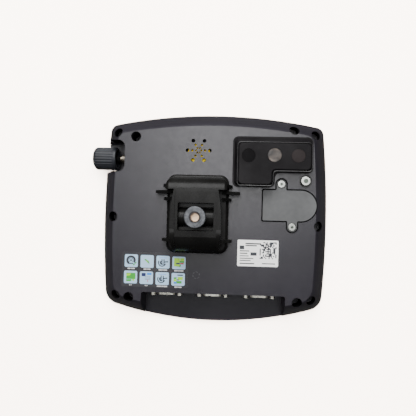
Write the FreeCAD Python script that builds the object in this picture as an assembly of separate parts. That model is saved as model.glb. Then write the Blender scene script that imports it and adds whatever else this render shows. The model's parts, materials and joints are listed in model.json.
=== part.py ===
import FreeCAD, Part
import math
import os

V = FreeCAD.Vector

# Back of a rugged guidance display. It lies on its screen side: z = 0 is the front face,
# +Z points out of the back and +Y to the top of the device. Millimetres.

# ---- housing outline: four long arcs joined by round corners
half_width = 108.8
half_height = 100.7
side_radius = 917.0
side_bulge_y = -3.0
top_radius = 485.0
bottom_radius = 332.0
top_corner = 8.0
bottom_corner = 15.0

# ---- housing levels and walls
depth = 42.0                 # front face to back face
split_z = 10.0               # parting line of bezel and back cover
wall = 2.5
shoulder_z = 14.0            # where the back cover starts to round over
shoulder_width = 15.5
shoulder_power = 1.25        # 2 is an ellipse, 1 a plain slope
bezel_face = 3.0             # thickness of the front plate
bezel_edge = 3.0             # rounding of the front edge
seal_width = 1.0
seal_inset = 0.8
slip = 0.05                  # clearance of a part dropped into its seat
running = 0.05               # radial clearance of what turns
gap = 0.3                    # clearance round what slides or lies loose
head_gap = 0.3               # clearance round a sunk screw head
shank_gap = 0.2              # clearance of a screw's shank in a through hole
beyond = 20.0                # how far a bay's cutting shape runs out of the housing
past = 1.0                   # how far a cutting shape runs past the face that it opens
screw_bite = 1.0             # wall left under the end of a screw's hole

# ---- housing screws in deep round wells
screws_from_sides = [(-1, 17.3, 1, 22.3), (-1, 35.2, 1, 26.4), (1, 36.1, 1, 17.8), (1, 15.9, 1, 21.8),
                     (-1, 14.9, 0, -0.5), (1, 12.5, 0, -5.2),
                     (-1, 18.9, -1, 27.2), (-1, 31.8, -1, 25.9), (1, 30.9, -1, 25.6), (1, 17.5, -1, 27.3)]
well_r = 4.7
well_wall = 1.6
well_floor = 18.0
screw_r = 1.5
head_r = 2.8
head_h = 2.4
socket_af = 2.5              # hexagon socket across its flats
socket_share = 0.6           # socket depth as a share of the head
head_rounding = 0.35         # rounding of a head as a share of its height
seat_boss_wall = 0.6         # bezel boss round a well's radius

# ---- knob and its bay in the left side
knob_y = 55.0
knob_under = 2.0             # from the knob to the floor of its bay
knob_r = 10.9
knob_out = 9.2               # how far the knob stands out of the side
knob_length = 23.6
knob_round = 5.2
rib_count = 24
rib_r = 0.55
rib_stop = 2.2               # the ribs end this far from the knob's inner end
skirt_depth, skirt_wall = 3.0, 2.4           # hollow in the knob's inner end
knob_bore_stop = 7.0         # solid end of the knob beyond the stem
bay_inset = 25.0             # from the side to the end wall of the bay
finger_low, finger_high = 2.6, 5.2           # room for fingers below and above the knob
bay_corner = 6.5
bay_floor = 12.4
bite_inset = 9.8
bite_below, bite_above = 1.2, 0.3            # the bite is this much wider than the knob
bite_mouth = 5.0             # its sides lean apart over this length
bite_lean_low, bite_lean_high = 0.5, 1.2     # and by this much for each millimetre
bite_round = 4.0
stem_r = 3.0
bushing_wall = 1.4
bushing_out = 5.6            # how far the bushing stands out of the bay wall
nut_wall = 1.8
nut_h = 2.2
washer_rim = 0.5             # washer beyond the nut's corners
washer_h = 0.5
encoder_side = 14.0
encoder_depth = 9.0
encoder_front, encoder_rear = 1.5, 1.2       # walls of the encoder's case
rotor_gap = 2.0              # room round the stem inside the case
plunger_rim, plunger_t = 1.6, 1.6
stem_in = 3.2                # how far the stem reaches into the case

# ---- connector bay along the bottom
port_side_low, port_side_high = 21.8, 22.7   # from the outer connectors to the ends of the bay
port_inset = 31.2            # from the bottom edge to the bay's wall
port_flare = 1.8
port_corner = 2.0
port_floor = 12.4
port_centres = [-43.3, 0.45, 44.3]
port_z = 27.0
port_drop = 5.6              # board below the connectors' middle
dsub_wide, dsub_narrow, dsub_high = 16.9, 15.2, 8.4
dsub_round = 2.4
dsub_skin = 0.5
dsub_reach = 3.9             # shell beyond the bay wall
flange_w, flange_h, flange_t = 30.8, 12.4, 1.0
jack_pitch = 24.99
jack_af = 4.8
jack_len = 5.0
jack_hole_r = 1.15
jack_hole_depth = 4.4
jack_stud_r = 1.4
jack_stud_out = 1.5          # stud beyond the flange
pin_r = 0.5
pin_pitch, pin_row = 2.77, 1.42
pin_sink = 0.8               # pins end this far inside the shell
pin_tail = 6.0
insert_half, insert_depth, insert_rise = 9.5, 7.0, 5.0
insert_out = 1.0             # insert reaching into the shell beyond its flange
flange_shift = 0.5           # flange is that much higher than the shell

# ---- display side
screen_y = 14.0
glass_lap = 5.0              # glass behind the rim of the window
window_corner = 4.0
glass_w, glass_h, glass_t = 166.0, 105.0, 1.8
glass_sink = 1.2
gasket_t = 0.4
gasket_w = 3.0
lcd_inset, lcd_t = 0.5, 5.2
bracket_t = 0.8
bracket_band = 9.0
bracket_post_gap = 1.4       # from the glass to the posts
bracket_post_y = [-26.0, 30.0]
post_r = 3.6
small_screw_r = 1.25
small_head_r = 2.4
small_head_h = 1.6
small_socket_af = 2.0
bracket_corner, tab_corner = 3.0, 2.0
panel_corner = 1.0

# ---- front keys
key_xs = [-45.0, -15.0, 15.0, 45.0]
key_y = -62.0
key_w, key_h = 20.0, 11.0
key_corner = 2.5
key_sink = 0.3
key_lip = 1.2
key_stem_r = 1.6
key_round = 0.8
dome_r = 3.0
dome_t = 0.9
dome_taper = 0.6
key_board_z = 6.9
key_board_t = 1.2
key_board_rim, key_board_h = 4.4, 20.0
key_post_gap = 0.8

# ---- main board and what stands on it
board_t = 1.6
board_w = 144.0
board_top_y = 48.0
board_edge_gap = 0.4
board_pillars = [(-64.0, 42.0), (38.0, 42.0), (-64.0, -40.0), (38.0, -52.0)]
pillar_r = 3.6
pillar_bite = 8.0            # board screws in the pillars
board_corner = 3.0
can_skin, can_corner = 0.4, 1.0
can_x, can_y, can_w, can_h, can_t = -32.0, 6.0, 46.0, 36.0, 4.5
card_x, card_y, card_w, card_h, card_t = 62.0, 13.2, 30.0, 21.0, 4.0
socket_rim, socket_floor, socket_roof = 1.5, 1.2, 0.6
card_out = 3.0               # card beyond the mouth of its socket
card_stop = 4.2
ribbon_w, ribbon_t = 22.0, 0.3
ribbon_under, ribbon_round, ribbon_over = 14.0, 3.0, 8.0   # ribbon below, beyond and above the board's top edge

# ---- loudspeaker behind a ring of holes
speaker_x, speaker_y = -15.0, 62.3
speaker_r = 15.0
speaker_wall = 1.3
speaker_h = 7.0
cone_t = 0.6
cone_rim = 1.2
speaker_floor = 1.2
cone_drop = 1.4
magnet_r, magnet_h = 8.0, 4.0
grille_rings = [(10.3, 1.75), (5.9, 1.15), (2.4, 0.9)]
grille_count = 6
cable_slot_x, cable_slot_y = 6.0, 4.0        # half sizes of the antenna cable's slot

# ---- raised radio cover
radio_x0, radio_x1 = 16.6, 89.6
radio_y0, radio_y1 = 29.5, 75.8
radio_cut_x, radio_cut_y = 55.2, 42.9
radio_h = 10.0
radio_corner = 5.0
radio_slopes = {"left": 4.2, "right": 2.4, "low": 0.9, "high": 6.4}   # how far each side leans in
radio_edge = 0.7
radio_wall = 2.2
radio_step = 1.2
disc_places = [(30.6, 57.2), (53.7, 57.9), (74.9, 57.6)]
disc_r = 6.2
disc_t = 1.0
disc_chamfer = 0.25
plug_sink = 0.15             # the plug lies lower than the disc beside it
radio_screws = [(23.0, 66.0), (83.4, 66.0), (23.0, 35.5), (83.4, 49.5)]
radio_boss_r = 2.8
radio_roof_bite = 1.0        # screws end this far below the cover's inner face
patch_side, patch_t = 20.0, 4.0
patch_x, patch_y = 37.0, 51.5
patch_border = 0.6
patch_chamfer = 0.5
radio_board_t = 1.2

# ---- service door
door_x0, door_x1 = 45.0, 79.6
door_y0, door_y1 = -0.7, 27.2
ear_top_x, ear_low_x = 61.6, 71.9
ear_r = 4.4
ear_reach = 5.6              # ear centre beyond the door's edge
door_t = 2.4
door_gap = 1.2
door_moat = 1.9             # depth of the groove round the door below its seat
door_ledge = 3.0
door_seal_t = 0.4
door_corner = 1.2
door_head_r = 3.6
door_head_h = 1.8
door_head_out = 0.4          # heads stand out of the door
door_boss_r, door_boss_h, door_bite = 3.4, 5.0, 4.0
door_screw_stop = 0.7
door_seal_out, door_seal_in = 0.4, 2.7       # edges of the seal inside the door's body outline

# ---- earth screw
earth_x, earth_y = 83.1, 35.9
earth_head_r = 4.9
earth_head_h = 3.6
earth_hex = 4.0
earth_r = 2.5
earth_boss_r = 7.2
earth_boss_floor = 2.0
earth_washer_r = 5.6
earth_washer_t = 0.8
earth_shank = 8.6
earth_sink = 1.4             # depth of the round seat that the washer lies in

# ---- labels
label_t = 0.2
type_x0, type_x1, type_y0, type_y1 = 22.8, 60.0, -42.9, -18.9
icon_x0, icon_x1, icon_y0, icon_y1 = -83.6, -22.2, -65.0, -33.0
label_corner = 1.2

# ---- arm holder: base, clamp, tilting barrel and threaded hub
hold_x = -14.2
base_half_x = 28.0
base_y0, base_y1 = -32.0, 39.3
base_h = 8.0
base_corner = 8.0
base_round = 3.0
tilt_y = 0.9
tilt_h = 18.0                # tilt axis above the housing's back
clamp_y0, clamp_y1 = -29.5, 36.5
arch_side = 2.6              # arch beside its window, up to the rails
rail_wall = 2.9              # rail outside the saddle, at its widest
rail_bulge_low, rail_bulge_high = 1.8, 2.9   # how much narrower the rails are at their ends
rail_rise = 1.0
head_y = 24.8                # the clamp's wide head lies above this
head_margin = 1.4            # base beyond the clamp's head
head_corner = 8.0
head_round = 3.0
clamp_wall_h = 6.0           # upright wall at both ends of the arch
clamp_top = 12.0             # top of the clamp above the tilt axis
clamp_flat_low, clamp_flat_high = -9.5, 21.5
window_low, window_high = -10.8, 13.2
cheek_x = 15.4
saddle_half_y = 7.0
saddle_w = 3.5
saddle_gap = 0.15
window_corner_r = 1.0
cradle_drop = 2.6            # room below the barrel
trunnion_r = 4.0
trunnion_len = 3.3
barrel_r = 7.8
ledge_gap = 1.0              # from the barrel to the ledges in the window
ledge_h = 13.6
clamp_screws_at = [(-17.0, -22.5), (17.0, -22.5), (-21.0, 29.5), (21.0, 29.5)]
clamp_grip = 9.0             # how far the clamp screws reach into the clamp
fin_t = 2.6
fin_top = 20.0               # height of a fin at the clamp
fin_tip = 9.0
base_boss_r, base_boss_h = 3.6, 5.0          # bosses inside the housing under the base
base_counterbore = 4.0       # seat of the base screws above the housing
base_screw_len = 8.0
arc_share_z, arc_share_y = 0.68, 0.22        # where the flank's arc passes, between wall and crown
fins = [(28.7, 3.2), (23.0, 10.0), (16.9, 2.4), (-19.9, 3.4)]   # y place, reach beyond the base
base_screws = [(-10.5, -24.0), (10.5, -24.0), (-10.5, 31.0), (10.5, 31.0)]
hub_r = 9.3
hub_h = 20.0                 # end of the hub above the tilt axis
hub_disc_t = 5.4
hub_neck_r = 6.4
hub_spigot_r = 5.0
insert_wall = 0.8
thread_r = 3.4
thread_depth = 8.0
insert_sink = 0.8
insert_floor = 1.4
insert_lead = 0.7            # chamfer at the insert's mouth
hub_seat = 1.2               # hub's shoulder in the barrel
spigot_len = 4.0             # spigot below the tilt axis
hub_round = 0.8

# ---- places and sizes that follow from the ones above
inner_top = depth - wall
board_z = port_z - port_drop - board_t
screw_places = [(sx * (half_width - dx), sy * (half_height - dy) if sy else dy)
                for sx, dx, sy, dy in screws_from_sides]
knob_z = bay_floor + knob_under + knob_r
knob_reach = half_width + knob_out
shift_x = (knob_reach - half_width) / 2     # puts the origin below the middle of the whole part
bay_x = bay_inset - half_width
bay_low, bay_high = knob_y - knob_r - finger_low, knob_y + knob_r + finger_high
bite_x = bite_inset - half_width
bite_low, bite_high = knob_y - knob_r - bite_below, knob_y + knob_r + bite_above
bushing_r = stem_r + bushing_wall
plunger_r = stem_r + plunger_rim
nut_r = bushing_r + nut_wall
washer_r = nut_r + washer_rim
port_low, port_high = port_centres[0] - port_side_low, port_centres[-1] + port_side_high
port_wall_y = port_inset - half_height
window_w, window_h = glass_w - 2 * glass_lap, glass_h - 2 * glass_lap
lcd_w, lcd_h = glass_w - 2 * lcd_inset, glass_h - 2 * lcd_inset
bracket_post_x = glass_w / 2 + bracket_post_gap + post_r
key_post_x = key_xs[-1] + key_w / 2 + key_lip + post_r + key_post_gap
key_board_w = 2 * (key_post_x + key_board_rim)
tilt_z = depth + tilt_h
arch_half = cheek_x + arch_side
rail_half_mid = cheek_x + saddle_w + rail_wall
rail_half_low, rail_half_high = rail_half_mid - rail_bulge_low, rail_half_mid - rail_bulge_high
head_half_x = base_half_x - head_margin
hub_top = tilt_z + hub_h
hub_disc_z = hub_top - hub_disc_t
insert_r = thread_r + insert_wall


def box(x0, x1, y0, y1, z0, z1):
    return Part.makeBox(x1 - x0, y1 - y0, z1 - z0, V(x0, y0, z0))


def cyl(x, y, z0, z1, r):
    return Part.makeCylinder(r, z1 - z0, V(x, y, z0))


def cyl_x(x0, x1, y, z, r):
    return Part.makeCylinder(r, x1 - x0, V(x0, y, z), V(1, 0, 0))


def cyl_y(x, y0, y1, z, r):
    return Part.makeCylinder(r, y1 - y0, V(x, y0, z), V(0, 1, 0))


def fuse(shapes):
    return shapes[0].multiFuse(shapes[1:]).removeSplitter() if len(shapes) > 1 else shapes[0]


def cut(shape, tools):
    return shape.cut(fuse(tools) if len(tools) > 1 else tools[0])


def polygon(points):
    return Part.Face(Part.makePolygon([V(*p) for p in points + points[:1]]))


def rounded_face(x0, x1, y0, y1, r):
    """Rectangle in the XY plane with round corners."""
    corners = [(x1 - r, y1 - r, 0), (x0 + r, y1 - r, 90), (x0 + r, y0 + r, 180), (x1 - r, y0 + r, 270)]
    arcs = [Part.ArcOfCircle(Part.Circle(V(x, y, 0), V(0, 0, 1), r), math.radians(a), math.radians(a + 90))
            for x, y, a in corners]
    edges = []
    for i, arc in enumerate(arcs):
        edges.append(arc.toShape())
        edges.append(Part.makeLine(arc.EndPoint, arcs[(i + 1) % 4].StartPoint))
    return Part.Face(Part.Wire(edges))


def rounded_block(x0, x1, y0, y1, z0, z1, r):
    return prism(rounded_face(x0, x1, y0, y1, r), z0, z1)


def prism(face, z0, z1):
    """A flat face of the XY plane, standing from z0 to z1."""
    solid = face.extrude(V(0, 0, z1 - z0))
    solid.translate(V(0, 0, z0))
    return solid


def grow(face, amount):
    """The flat face with its outline moved outwards by amount, corners rounded."""
    return face.makeOffset2D(amount, 0) if amount else face


def soften(face, r):
    """Round the corners of a flat face, outer ones and inner ones."""
    return grow(grow(grow(grow(face, -r), r), r), -r)


def meet(c1, r1, c2, r2, towards):
    """Crossing of two circles, the one nearer to a given point."""
    line = c2 - c1
    d = line.Length
    along = (r1 * r1 - r2 * r2 + d * d) / (2 * d)
    across = math.sqrt(r1 * r1 - along * along)
    unit = line * (1 / d)
    side = V(-unit.y, unit.x, 0)
    ends = [c1 + unit * along + side * across * s for s in (1, -1)]
    return min(ends, key=lambda p: (p - towards).Length)


def outline(inset, z=0.0):
    """Housing outline at a level: four long arcs, each corner an arc that touches two of them."""
    centres = [(V(0, half_height - top_radius, 0), top_radius - inset),
               (V(side_radius - half_width, side_bulge_y, 0), side_radius - inset),
               (V(0, bottom_radius - half_height, 0), bottom_radius - inset),
               (V(half_width - side_radius, side_bulge_y, 0), side_radius - inset)]
    near = [(-1, 1, top_corner), (-1, -1, bottom_corner), (1, -1, bottom_corner), (1, 1, top_corner)]
    joins = []
    for i, (sx, sy, r) in enumerate(near):
        (c1, r1), (c2, r2) = centres[i], centres[(i + 1) % 4]
        middle = meet(c1, r1 - r, c2, r2 - r, V(sx * half_width, sy * half_height, 0))
        touch = [c + (middle - c) * (big / (middle - c).Length) for c, big in ((c1, r1), (c2, r2))]
        out = (touch[0] + touch[1]) * 0.5 - middle
        joins.append((touch[0], middle + out * (r / out.Length), touch[1]))
    edges = []
    for i, (first, mid, last) in enumerate(joins):
        edges.append(Part.Arc(first, mid, last).toShape())
        c, big = centres[(i + 1) % 4]
        following = joins[(i + 1) % 4][0]
        chord = (last + following) * 0.5 - c
        edges.append(Part.Arc(last, c + chord * (big / chord.Length), following).toShape())
    wire = Part.Wire(edges)
    wire.translate(V(0, 0, z))
    return wire


def shouldered(inset, top):
    """Closed form under the outline; its upper edge is a slope with round ends, a superellipse."""
    rise = top - shoulder_z
    bend = 2 / shoulder_power
    sections = [outline(inset, split_z), outline(inset, (split_z + shoulder_z) / 2)]
    for degrees in (0, 8, 20, 35, 50, 65, 80, 90):
        a = math.radians(degrees)
        aside = shoulder_width * (1 - max(math.cos(a), 0) ** bend)
        sections.append(outline(inset + aside, shoulder_z + rise * math.sin(a) ** bend))
    return Part.makeLoft(sections, True, False)


def bite_face():
    """Plan of the bite that lets fingers round the knob, wider where it meets the outline."""
    outside, mouth = -half_width - beyond, bite_x - bite_mouth
    spread = mouth - outside
    plan = polygon([(outside, bite_low - bite_lean_low * spread, 0), (mouth, bite_low, 0), (bite_x, bite_low, 0),
                    (bite_x, bite_high, 0), (mouth, bite_high, 0),
                    (outside, bite_high + bite_lean_high * spread, 0)])
    return soften(plan, bite_round)


def footprint():
    """Outline less the bite."""
    return Part.Face(outline(0)).cut(bite_face()).Faces[0]


def bay_block(margin, floor):
    """Space of the knob bay, grown by a margin."""
    return rounded_block(-half_width - beyond, bay_x + margin, bay_low - margin, bay_high + margin,
                         floor - margin, depth + beyond, bay_corner + margin)


def port_block(margin, floor):
    """Space of the connector bay, wider at the outline than at its wall."""
    low, high = port_low - margin, port_high + margin
    top = port_wall_y + margin
    outside = -half_height - beyond
    plan = polygon([(low, top, 0), (low - port_flare, outside, 0), (high + port_flare, outside, 0),
                    (high, top, 0)])
    return prism(soften(plan, port_corner), floor - margin, depth + beyond)


def door_face():
    """Door plan: a rectangle with one round end and two screw ears."""
    middle_y = (door_y0 + door_y1) / 2
    end_r = (door_y1 - door_y0) / 2
    body = fuse([box(door_x0, door_x1, door_y0, door_y1, 0, 1), cyl(door_x1, middle_y, 0, 1, end_r)])
    ears = []
    for x, y, way in ((ear_top_x, door_y1, 1), (ear_low_x, door_y0, -1)):
        low, high = sorted((y - way * door_ledge, y + way * ear_reach))
        ears.append(box(x - ear_r, x + ear_r, low, high, 0, 1))
        ears.append(cyl(x, y + way * ear_reach, 0, 1, ear_r))
    whole = fuse([body] + ears)
    return flat_bottom(whole), flat_bottom(body)


def flat_bottom(solid):
    return [f for f in solid.Faces if abs(f.CenterOfMass.z) < 1e-6][0]


def ear_places():
    return [(ear_top_x, door_y1 + ear_reach), (ear_low_x, door_y0 - ear_reach)]


def radio_face(lean, inset):
    """L-shaped plan of the radio cover, its sides leaning in by a share of their slopes."""
    x0 = radio_x0 + inset + lean * radio_slopes["left"]
    x1 = radio_x1 - inset - lean * radio_slopes["right"]
    y0 = radio_y0 + inset + lean * radio_slopes["low"]
    y1 = radio_y1 - inset - lean * radio_slopes["high"]
    cut_x = radio_cut_x - inset - lean * radio_slopes["right"]
    cut_y = radio_cut_y + inset + lean * radio_slopes["low"]
    plan = polygon([(x0, y0, 0), (cut_x, y0, 0), (cut_x, cut_y, 0), (x1, cut_y, 0), (x1, y1, 0), (x0, y1, 0)])
    return soften(plan, radio_corner - inset)


def radio_block(inset, z0, z1):
    """Leaning form of the radio cover between two levels."""
    low, high = radio_face(0, inset).OuterWire, radio_face(1, inset).OuterWire
    low.translate(V(0, 0, z0))
    high.translate(V(0, 0, z1))
    return Part.makeLoft([low, high], True, True)


def dsub_face(amount):
    """D-shaped section in the XZ plane about the connector's centre."""
    w, n, h = dsub_wide / 2, dsub_narrow / 2, dsub_high / 2
    plan = grow(soften(polygon([(-w, h, 0), (-n, -h, 0), (n, -h, 0), (w, h, 0)]), dsub_round), amount)
    plan.rotate(V(0, 0, 0), V(1, 0, 0), 90)
    return plan


def dsub_block(x, y0, y1, amount):
    solid = dsub_face(amount).extrude(V(0, y0 - y1, 0))
    solid.translate(V(x, y1, port_z))
    return solid


def ring(outer, inner, z0, z1):
    return prism(outer, z0, z1).cut(prism(inner, z0, z1))


def hexagon(x, y, across, z0, z1):
    r = across / math.sqrt(3)
    turns = [math.radians(60 * k) for k in range(6)]
    return prism(polygon([(x + r * math.cos(a), y + r * math.sin(a), 0) for a in turns]), z0, z1)


def socket_screw(x, y, seat, head_radius, head_height, shank_r, length, key_af, up=1):
    """Round-headed screw with a hexagon socket; up is the side that the head stands on."""
    solid = fuse([cyl(x, y, 0, head_height, head_radius), cyl(x, y, -length, slip, shank_r)])
    top_edge = [e for e in solid.Edges if abs(e.BoundBox.ZMin - head_height) < 1e-6]
    solid = solid.makeFillet(head_height * head_rounding, top_edge)
    solid = solid.cut(hexagon(x, y, key_af, head_height * (1 - socket_share), head_height + past))
    if up < 0:
        solid.rotate(V(x, y, 0), V(1, 0, 0), 180)
    solid.translate(V(0, 0, seat))
    return solid


# ---------------------------------------------------------------- housing
def back_cover():
    outer = shouldered(0, depth).cut(prism(bite_face(), split_z - past, depth + past))
    hollow = shouldered(wall, inner_top).cut(prism(grow(bite_face(), wall), split_z - past, depth + past))
    door, door_body = door_face()
    inside = [cyl(x, y, split_z, depth, well_r + well_wall) for x, y in screw_places]
    inside += [cyl(x, y, board_z + board_t, depth, pillar_r) for x, y in board_pillars]
    inside += [bay_block(wall, bay_floor), port_block(wall, port_floor)]
    ledge_low = depth - door_t - door_seal_t - wall
    moat_low = depth - door_t - door_seal_t - door_moat
    inside.append(prism(grow(door, door_gap + wall), moat_low - wall / 2, depth))
    inside += [cyl(x, y, ledge_low - door_boss_h, depth, door_boss_r) for x, y in ear_places()]
    inside.append(cyl(earth_x, earth_y, depth - earth_shank - earth_boss_floor, depth, earth_boss_r))
    inside += [cyl(hold_x + x, y, inner_top - base_boss_h, depth, base_boss_r) for x, y in base_screws]
    shell = outer.cut(hollow).fuse(fuse(inside).common(outer))
    cuts = [bay_block(0, bay_floor), port_block(0, port_floor)]
    cuts += [cyl(x, y, well_floor, depth + past, well_r) for x, y in screw_places]
    cuts += [cyl(x, y, split_z - past, well_floor + past, screw_r + shank_gap) for x, y in screw_places]
    pillar_hole = board_z + board_t + pillar_bite + screw_bite
    cuts += [cyl(x, y, board_z, pillar_hole, small_screw_r + slip) for x, y in board_pillars]
    cuts.append(prism(grow(door, door_gap), depth - door_t - door_seal_t, depth + past))
    cuts.append(ring(grow(door, door_gap), grow(door, -slip), moat_low, depth))
    cuts.append(prism(grow(door_body, -door_ledge), moat_low - wall, depth))
    cuts += [cyl(x, y, ledge_low - door_bite, depth, screw_r + slip) for x, y in ear_places()]
    cuts.append(cyl(earth_x, earth_y, depth - earth_shank - screw_bite, depth + past, earth_r + slip))
    cuts.append(cyl(earth_x, earth_y, depth - earth_sink, depth + past, earth_washer_r + gap))
    base_hole = inner_top - base_boss_h - past
    cuts += [cyl(hold_x + x, y, base_hole, depth + past, screw_r + slip) for x, y in base_screws]
    cuts += [cyl(x, y, inner_top - past, depth + past, screw_r + slip) for x, y in radio_screws]
    cuts.append(cyl_x(bay_x - past, bay_x + wall + past, knob_y, knob_z, bushing_r + slip))
    for x in port_centres:
        cuts.append(dsub_block(x, port_wall_y - past, port_wall_y + wall + past, gap))
        cuts += [cyl_y(x + s * jack_pitch / 2, port_wall_y - past, port_wall_y + wall + past, port_z,
                       jack_stud_r + slip) for s in (-1, 1)]
    for ring_r, hole_r in grille_rings:
        for k in range(grille_count):
            a = 2 * math.pi * k / grille_count
            cuts.append(cyl(speaker_x + ring_r * math.cos(a), speaker_y + ring_r * math.sin(a),
                            inner_top - past, depth + past, hole_r))
    cuts.append(box(patch_x - cable_slot_x, patch_x + cable_slot_x, patch_y - cable_slot_y,
                    patch_y + cable_slot_y, inner_top - past, depth + past))
    return cut(shell, cuts)


def front_bezel(plan):
    outer = prism(plan, 0, split_z)
    front = [e for e in outer.Edges if abs(e.BoundBox.ZMax) < 1e-6]
    outer = outer.makeFillet(bezel_edge, front)
    shell = outer.cut(prism(grow(plan, -wall), bezel_face, split_z + past))
    inside = [cyl(x, y, bezel_face - past, split_z, well_r + seat_boss_wall) for x, y in screw_places]
    inside += [cyl(s * bracket_post_x, y, bezel_face - past, lcd_top(), post_r)
               for s in (-1, 1) for y in bracket_post_y]
    inside += [cyl(s * key_post_x, key_y, bezel_face - past, key_board_z, post_r) for s in (-1, 1)]
    shell = shell.fuse(fuse(inside).common(outer))
    cuts = [cyl(x, y, bezel_face + screw_bite, split_z + past, screw_r + slip) for x, y in screw_places]
    cuts += [cyl(s * bracket_post_x, y, bezel_face, split_z, small_screw_r + slip)
             for s in (-1, 1) for y in bracket_post_y]
    cuts += [cyl(s * key_post_x, key_y, bezel_face, split_z, small_screw_r + slip) for s in (-1, 1)]
    cuts.append(screen_block(window_w, window_h, -past, bezel_face + past, window_corner))
    cuts.append(screen_block(glass_w + 2 * gap, glass_h + 2 * gap, glass_sink, bezel_face + past,
                             window_corner))
    cuts += [key_block(x, gap, -past, bezel_face + past) for x in key_xs]
    cuts.append(seal_ring(plan))
    return cut(shell, cuts)


def seal_ring(plan):
    return ring(grow(plan, -seal_inset), grow(plan, -seal_inset - seal_width), split_z - seal_width, split_z)


def lcd_top():
    return glass_sink + glass_t + gasket_t + lcd_t


def screen_block(w, h, z0, z1, r):
    return rounded_block(-w / 2, w / 2, screen_y - h / 2, screen_y + h / 2, z0, z1, r)


def housing_screws():
    length = well_floor - bezel_face - 2 * screw_bite
    return [socket_screw(x, y, well_floor, head_r, head_h, screw_r, length, socket_af) for x, y in screw_places]


# ---------------------------------------------------------------- display
def touch_glass():
    return screen_block(glass_w, glass_h, glass_sink, glass_sink + glass_t, window_corner)


def screen_gasket():
    low = glass_sink + glass_t
    high = low + gasket_t
    outer = screen_block(lcd_w, lcd_h, low, high, window_corner)
    return outer.cut(screen_block(lcd_w - 2 * gasket_w, lcd_h - 2 * gasket_w, low, high, panel_corner))


def display_panel():
    return screen_block(lcd_w, lcd_h, lcd_top() - lcd_t, lcd_top(), panel_corner)


def display_bracket():
    reach = bracket_post_x + post_r
    low = lcd_top()
    plate = screen_block(lcd_w, lcd_h, low, low + bracket_t, bracket_corner)
    tabs = [rounded_block(-reach, reach, y - post_r, y + post_r, low, low + bracket_t, tab_corner)
            for y in bracket_post_y]
    inner = screen_block(lcd_w - 2 * bracket_band, lcd_h - 2 * bracket_band, low - past, low + bracket_t + past,
                         bracket_corner)
    holes = [cyl(s * bracket_post_x, y, low - past, low + bracket_t + past, small_screw_r + slip)
             for s in (-1, 1) for y in bracket_post_y]
    return cut(fuse([plate] + tabs), [inner] + holes)


def bracket_screws():
    seat = lcd_top() + bracket_t
    length = seat - bezel_face - screw_bite
    return [socket_screw(s * bracket_post_x, y, seat, small_head_r, small_head_h, small_screw_r, length,
                         small_socket_af) for s in (-1, 1) for y in bracket_post_y]


# ---------------------------------------------------------------- front keys
def key_block(x, margin, z0, z1):
    return rounded_block(x - key_w / 2 - margin, x + key_w / 2 + margin, key_y - key_h / 2 - margin,
                         key_y + key_h / 2 + margin, z0, z1, key_corner + margin)


def front_key(x):
    cap = key_block(x, 0, key_sink, bezel_face + slip)
    rim = [e for e in cap.Edges if abs(e.BoundBox.ZMax - key_sink) < 1e-6]
    lip = key_block(x, key_lip, bezel_face + slip, bezel_face + slip + key_lip)
    stem = cyl(x, key_y, bezel_face, key_board_z - dome_t, key_stem_r)
    return fuse([cap.makeFillet(key_round, rim), lip, stem])


def key_domes():
    """Rubber domes under the keys; each is open in the middle where it gives way to the stem."""
    domes = []
    for x in key_xs:
        dome = Part.makeCone(dome_r, dome_r - dome_taper, dome_t, V(x, key_y, key_board_z), V(0, 0, -1))
        domes.append(dome.cut(cyl(x, key_y, key_board_z - dome_t - past, key_board_z + past, key_stem_r + gap)))
    return domes


def key_board():
    plate = rounded_block(-key_board_w / 2, key_board_w / 2, key_y - key_board_h / 2, key_y + key_board_h / 2,
                          key_board_z, key_board_z + key_board_t, tab_corner)
    return cut(plate, [cyl(s * key_post_x, key_y, 0, split_z, small_screw_r + slip) for s in (-1, 1)])


def key_board_screws():
    seat = key_board_z + key_board_t
    return [socket_screw(s * key_post_x, key_y, seat, small_head_r, small_head_h, small_screw_r,
                         seat - bezel_face - screw_bite, small_socket_af) for s in (-1, 1)]


# ---------------------------------------------------------------- electronics
def main_board():
    low_y = port_wall_y + wall + flange_t + board_edge_gap
    top = board_z + board_t
    plate = rounded_block(-board_w / 2, board_w / 2, low_y, board_top_y, board_z, top, board_corner)
    return cut(plate, [cyl(x, y, board_z - past, top + past, small_screw_r + slip) for x, y in board_pillars])


def board_screws():
    return [socket_screw(x, y, board_z, small_head_r, small_head_h, small_screw_r, board_t + pillar_bite,
                         small_socket_af, up=-1) for x, y in board_pillars]


def shield_can():
    low = board_z + board_t
    x0, x1, y0, y1 = can_x - can_w / 2, can_x + can_w / 2, can_y - can_h / 2, can_y + can_h / 2
    can = rounded_block(x0, x1, y0, y1, low, low + can_t, can_corner)
    return can.cut(rounded_block(x0 + can_skin, x1 - can_skin, y0 + can_skin, y1 - can_skin, low - past,
                                 low + can_t - can_skin, can_corner - can_skin))


def card_socket():
    low = board_z + board_t
    half = card_h / 2
    frame = box(card_x - card_w / 2, board_w / 2, card_y - half - socket_rim, card_y + half + socket_rim,
                low, low + card_t)
    return frame.cut(box(card_x - card_w, card_x + card_w, card_y - half - slip, card_y + half + slip,
                         low + socket_floor, low + card_t - socket_roof))


def memory_card():
    low = board_z + board_t + socket_floor
    high = board_z + board_t + card_t - socket_roof - slip
    return box(card_x - card_w / 2 - card_out, card_x + card_w / 2 - card_stop, card_y - card_h / 2,
               card_y + card_h / 2, low, high)


def display_ribbon():
    """Flat cable from the back of the display, round the top edge of the board and onto it."""
    z0, z1 = lcd_top(), board_z + board_t
    start, end = board_top_y - ribbon_under, board_top_y - ribbon_over
    bend, t = board_top_y + ribbon_round, ribbon_t
    path = [(start, z0), (bend + t, z0), (bend + t, z1 + t), (end, z1 + t),
            (end, z1), (bend, z1), (bend, z0 + t), (start, z0 + t)]
    return polygon([(speaker_x - ribbon_w / 2, y, z) for y, z in path]).extrude(V(ribbon_w, 0, 0))


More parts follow.
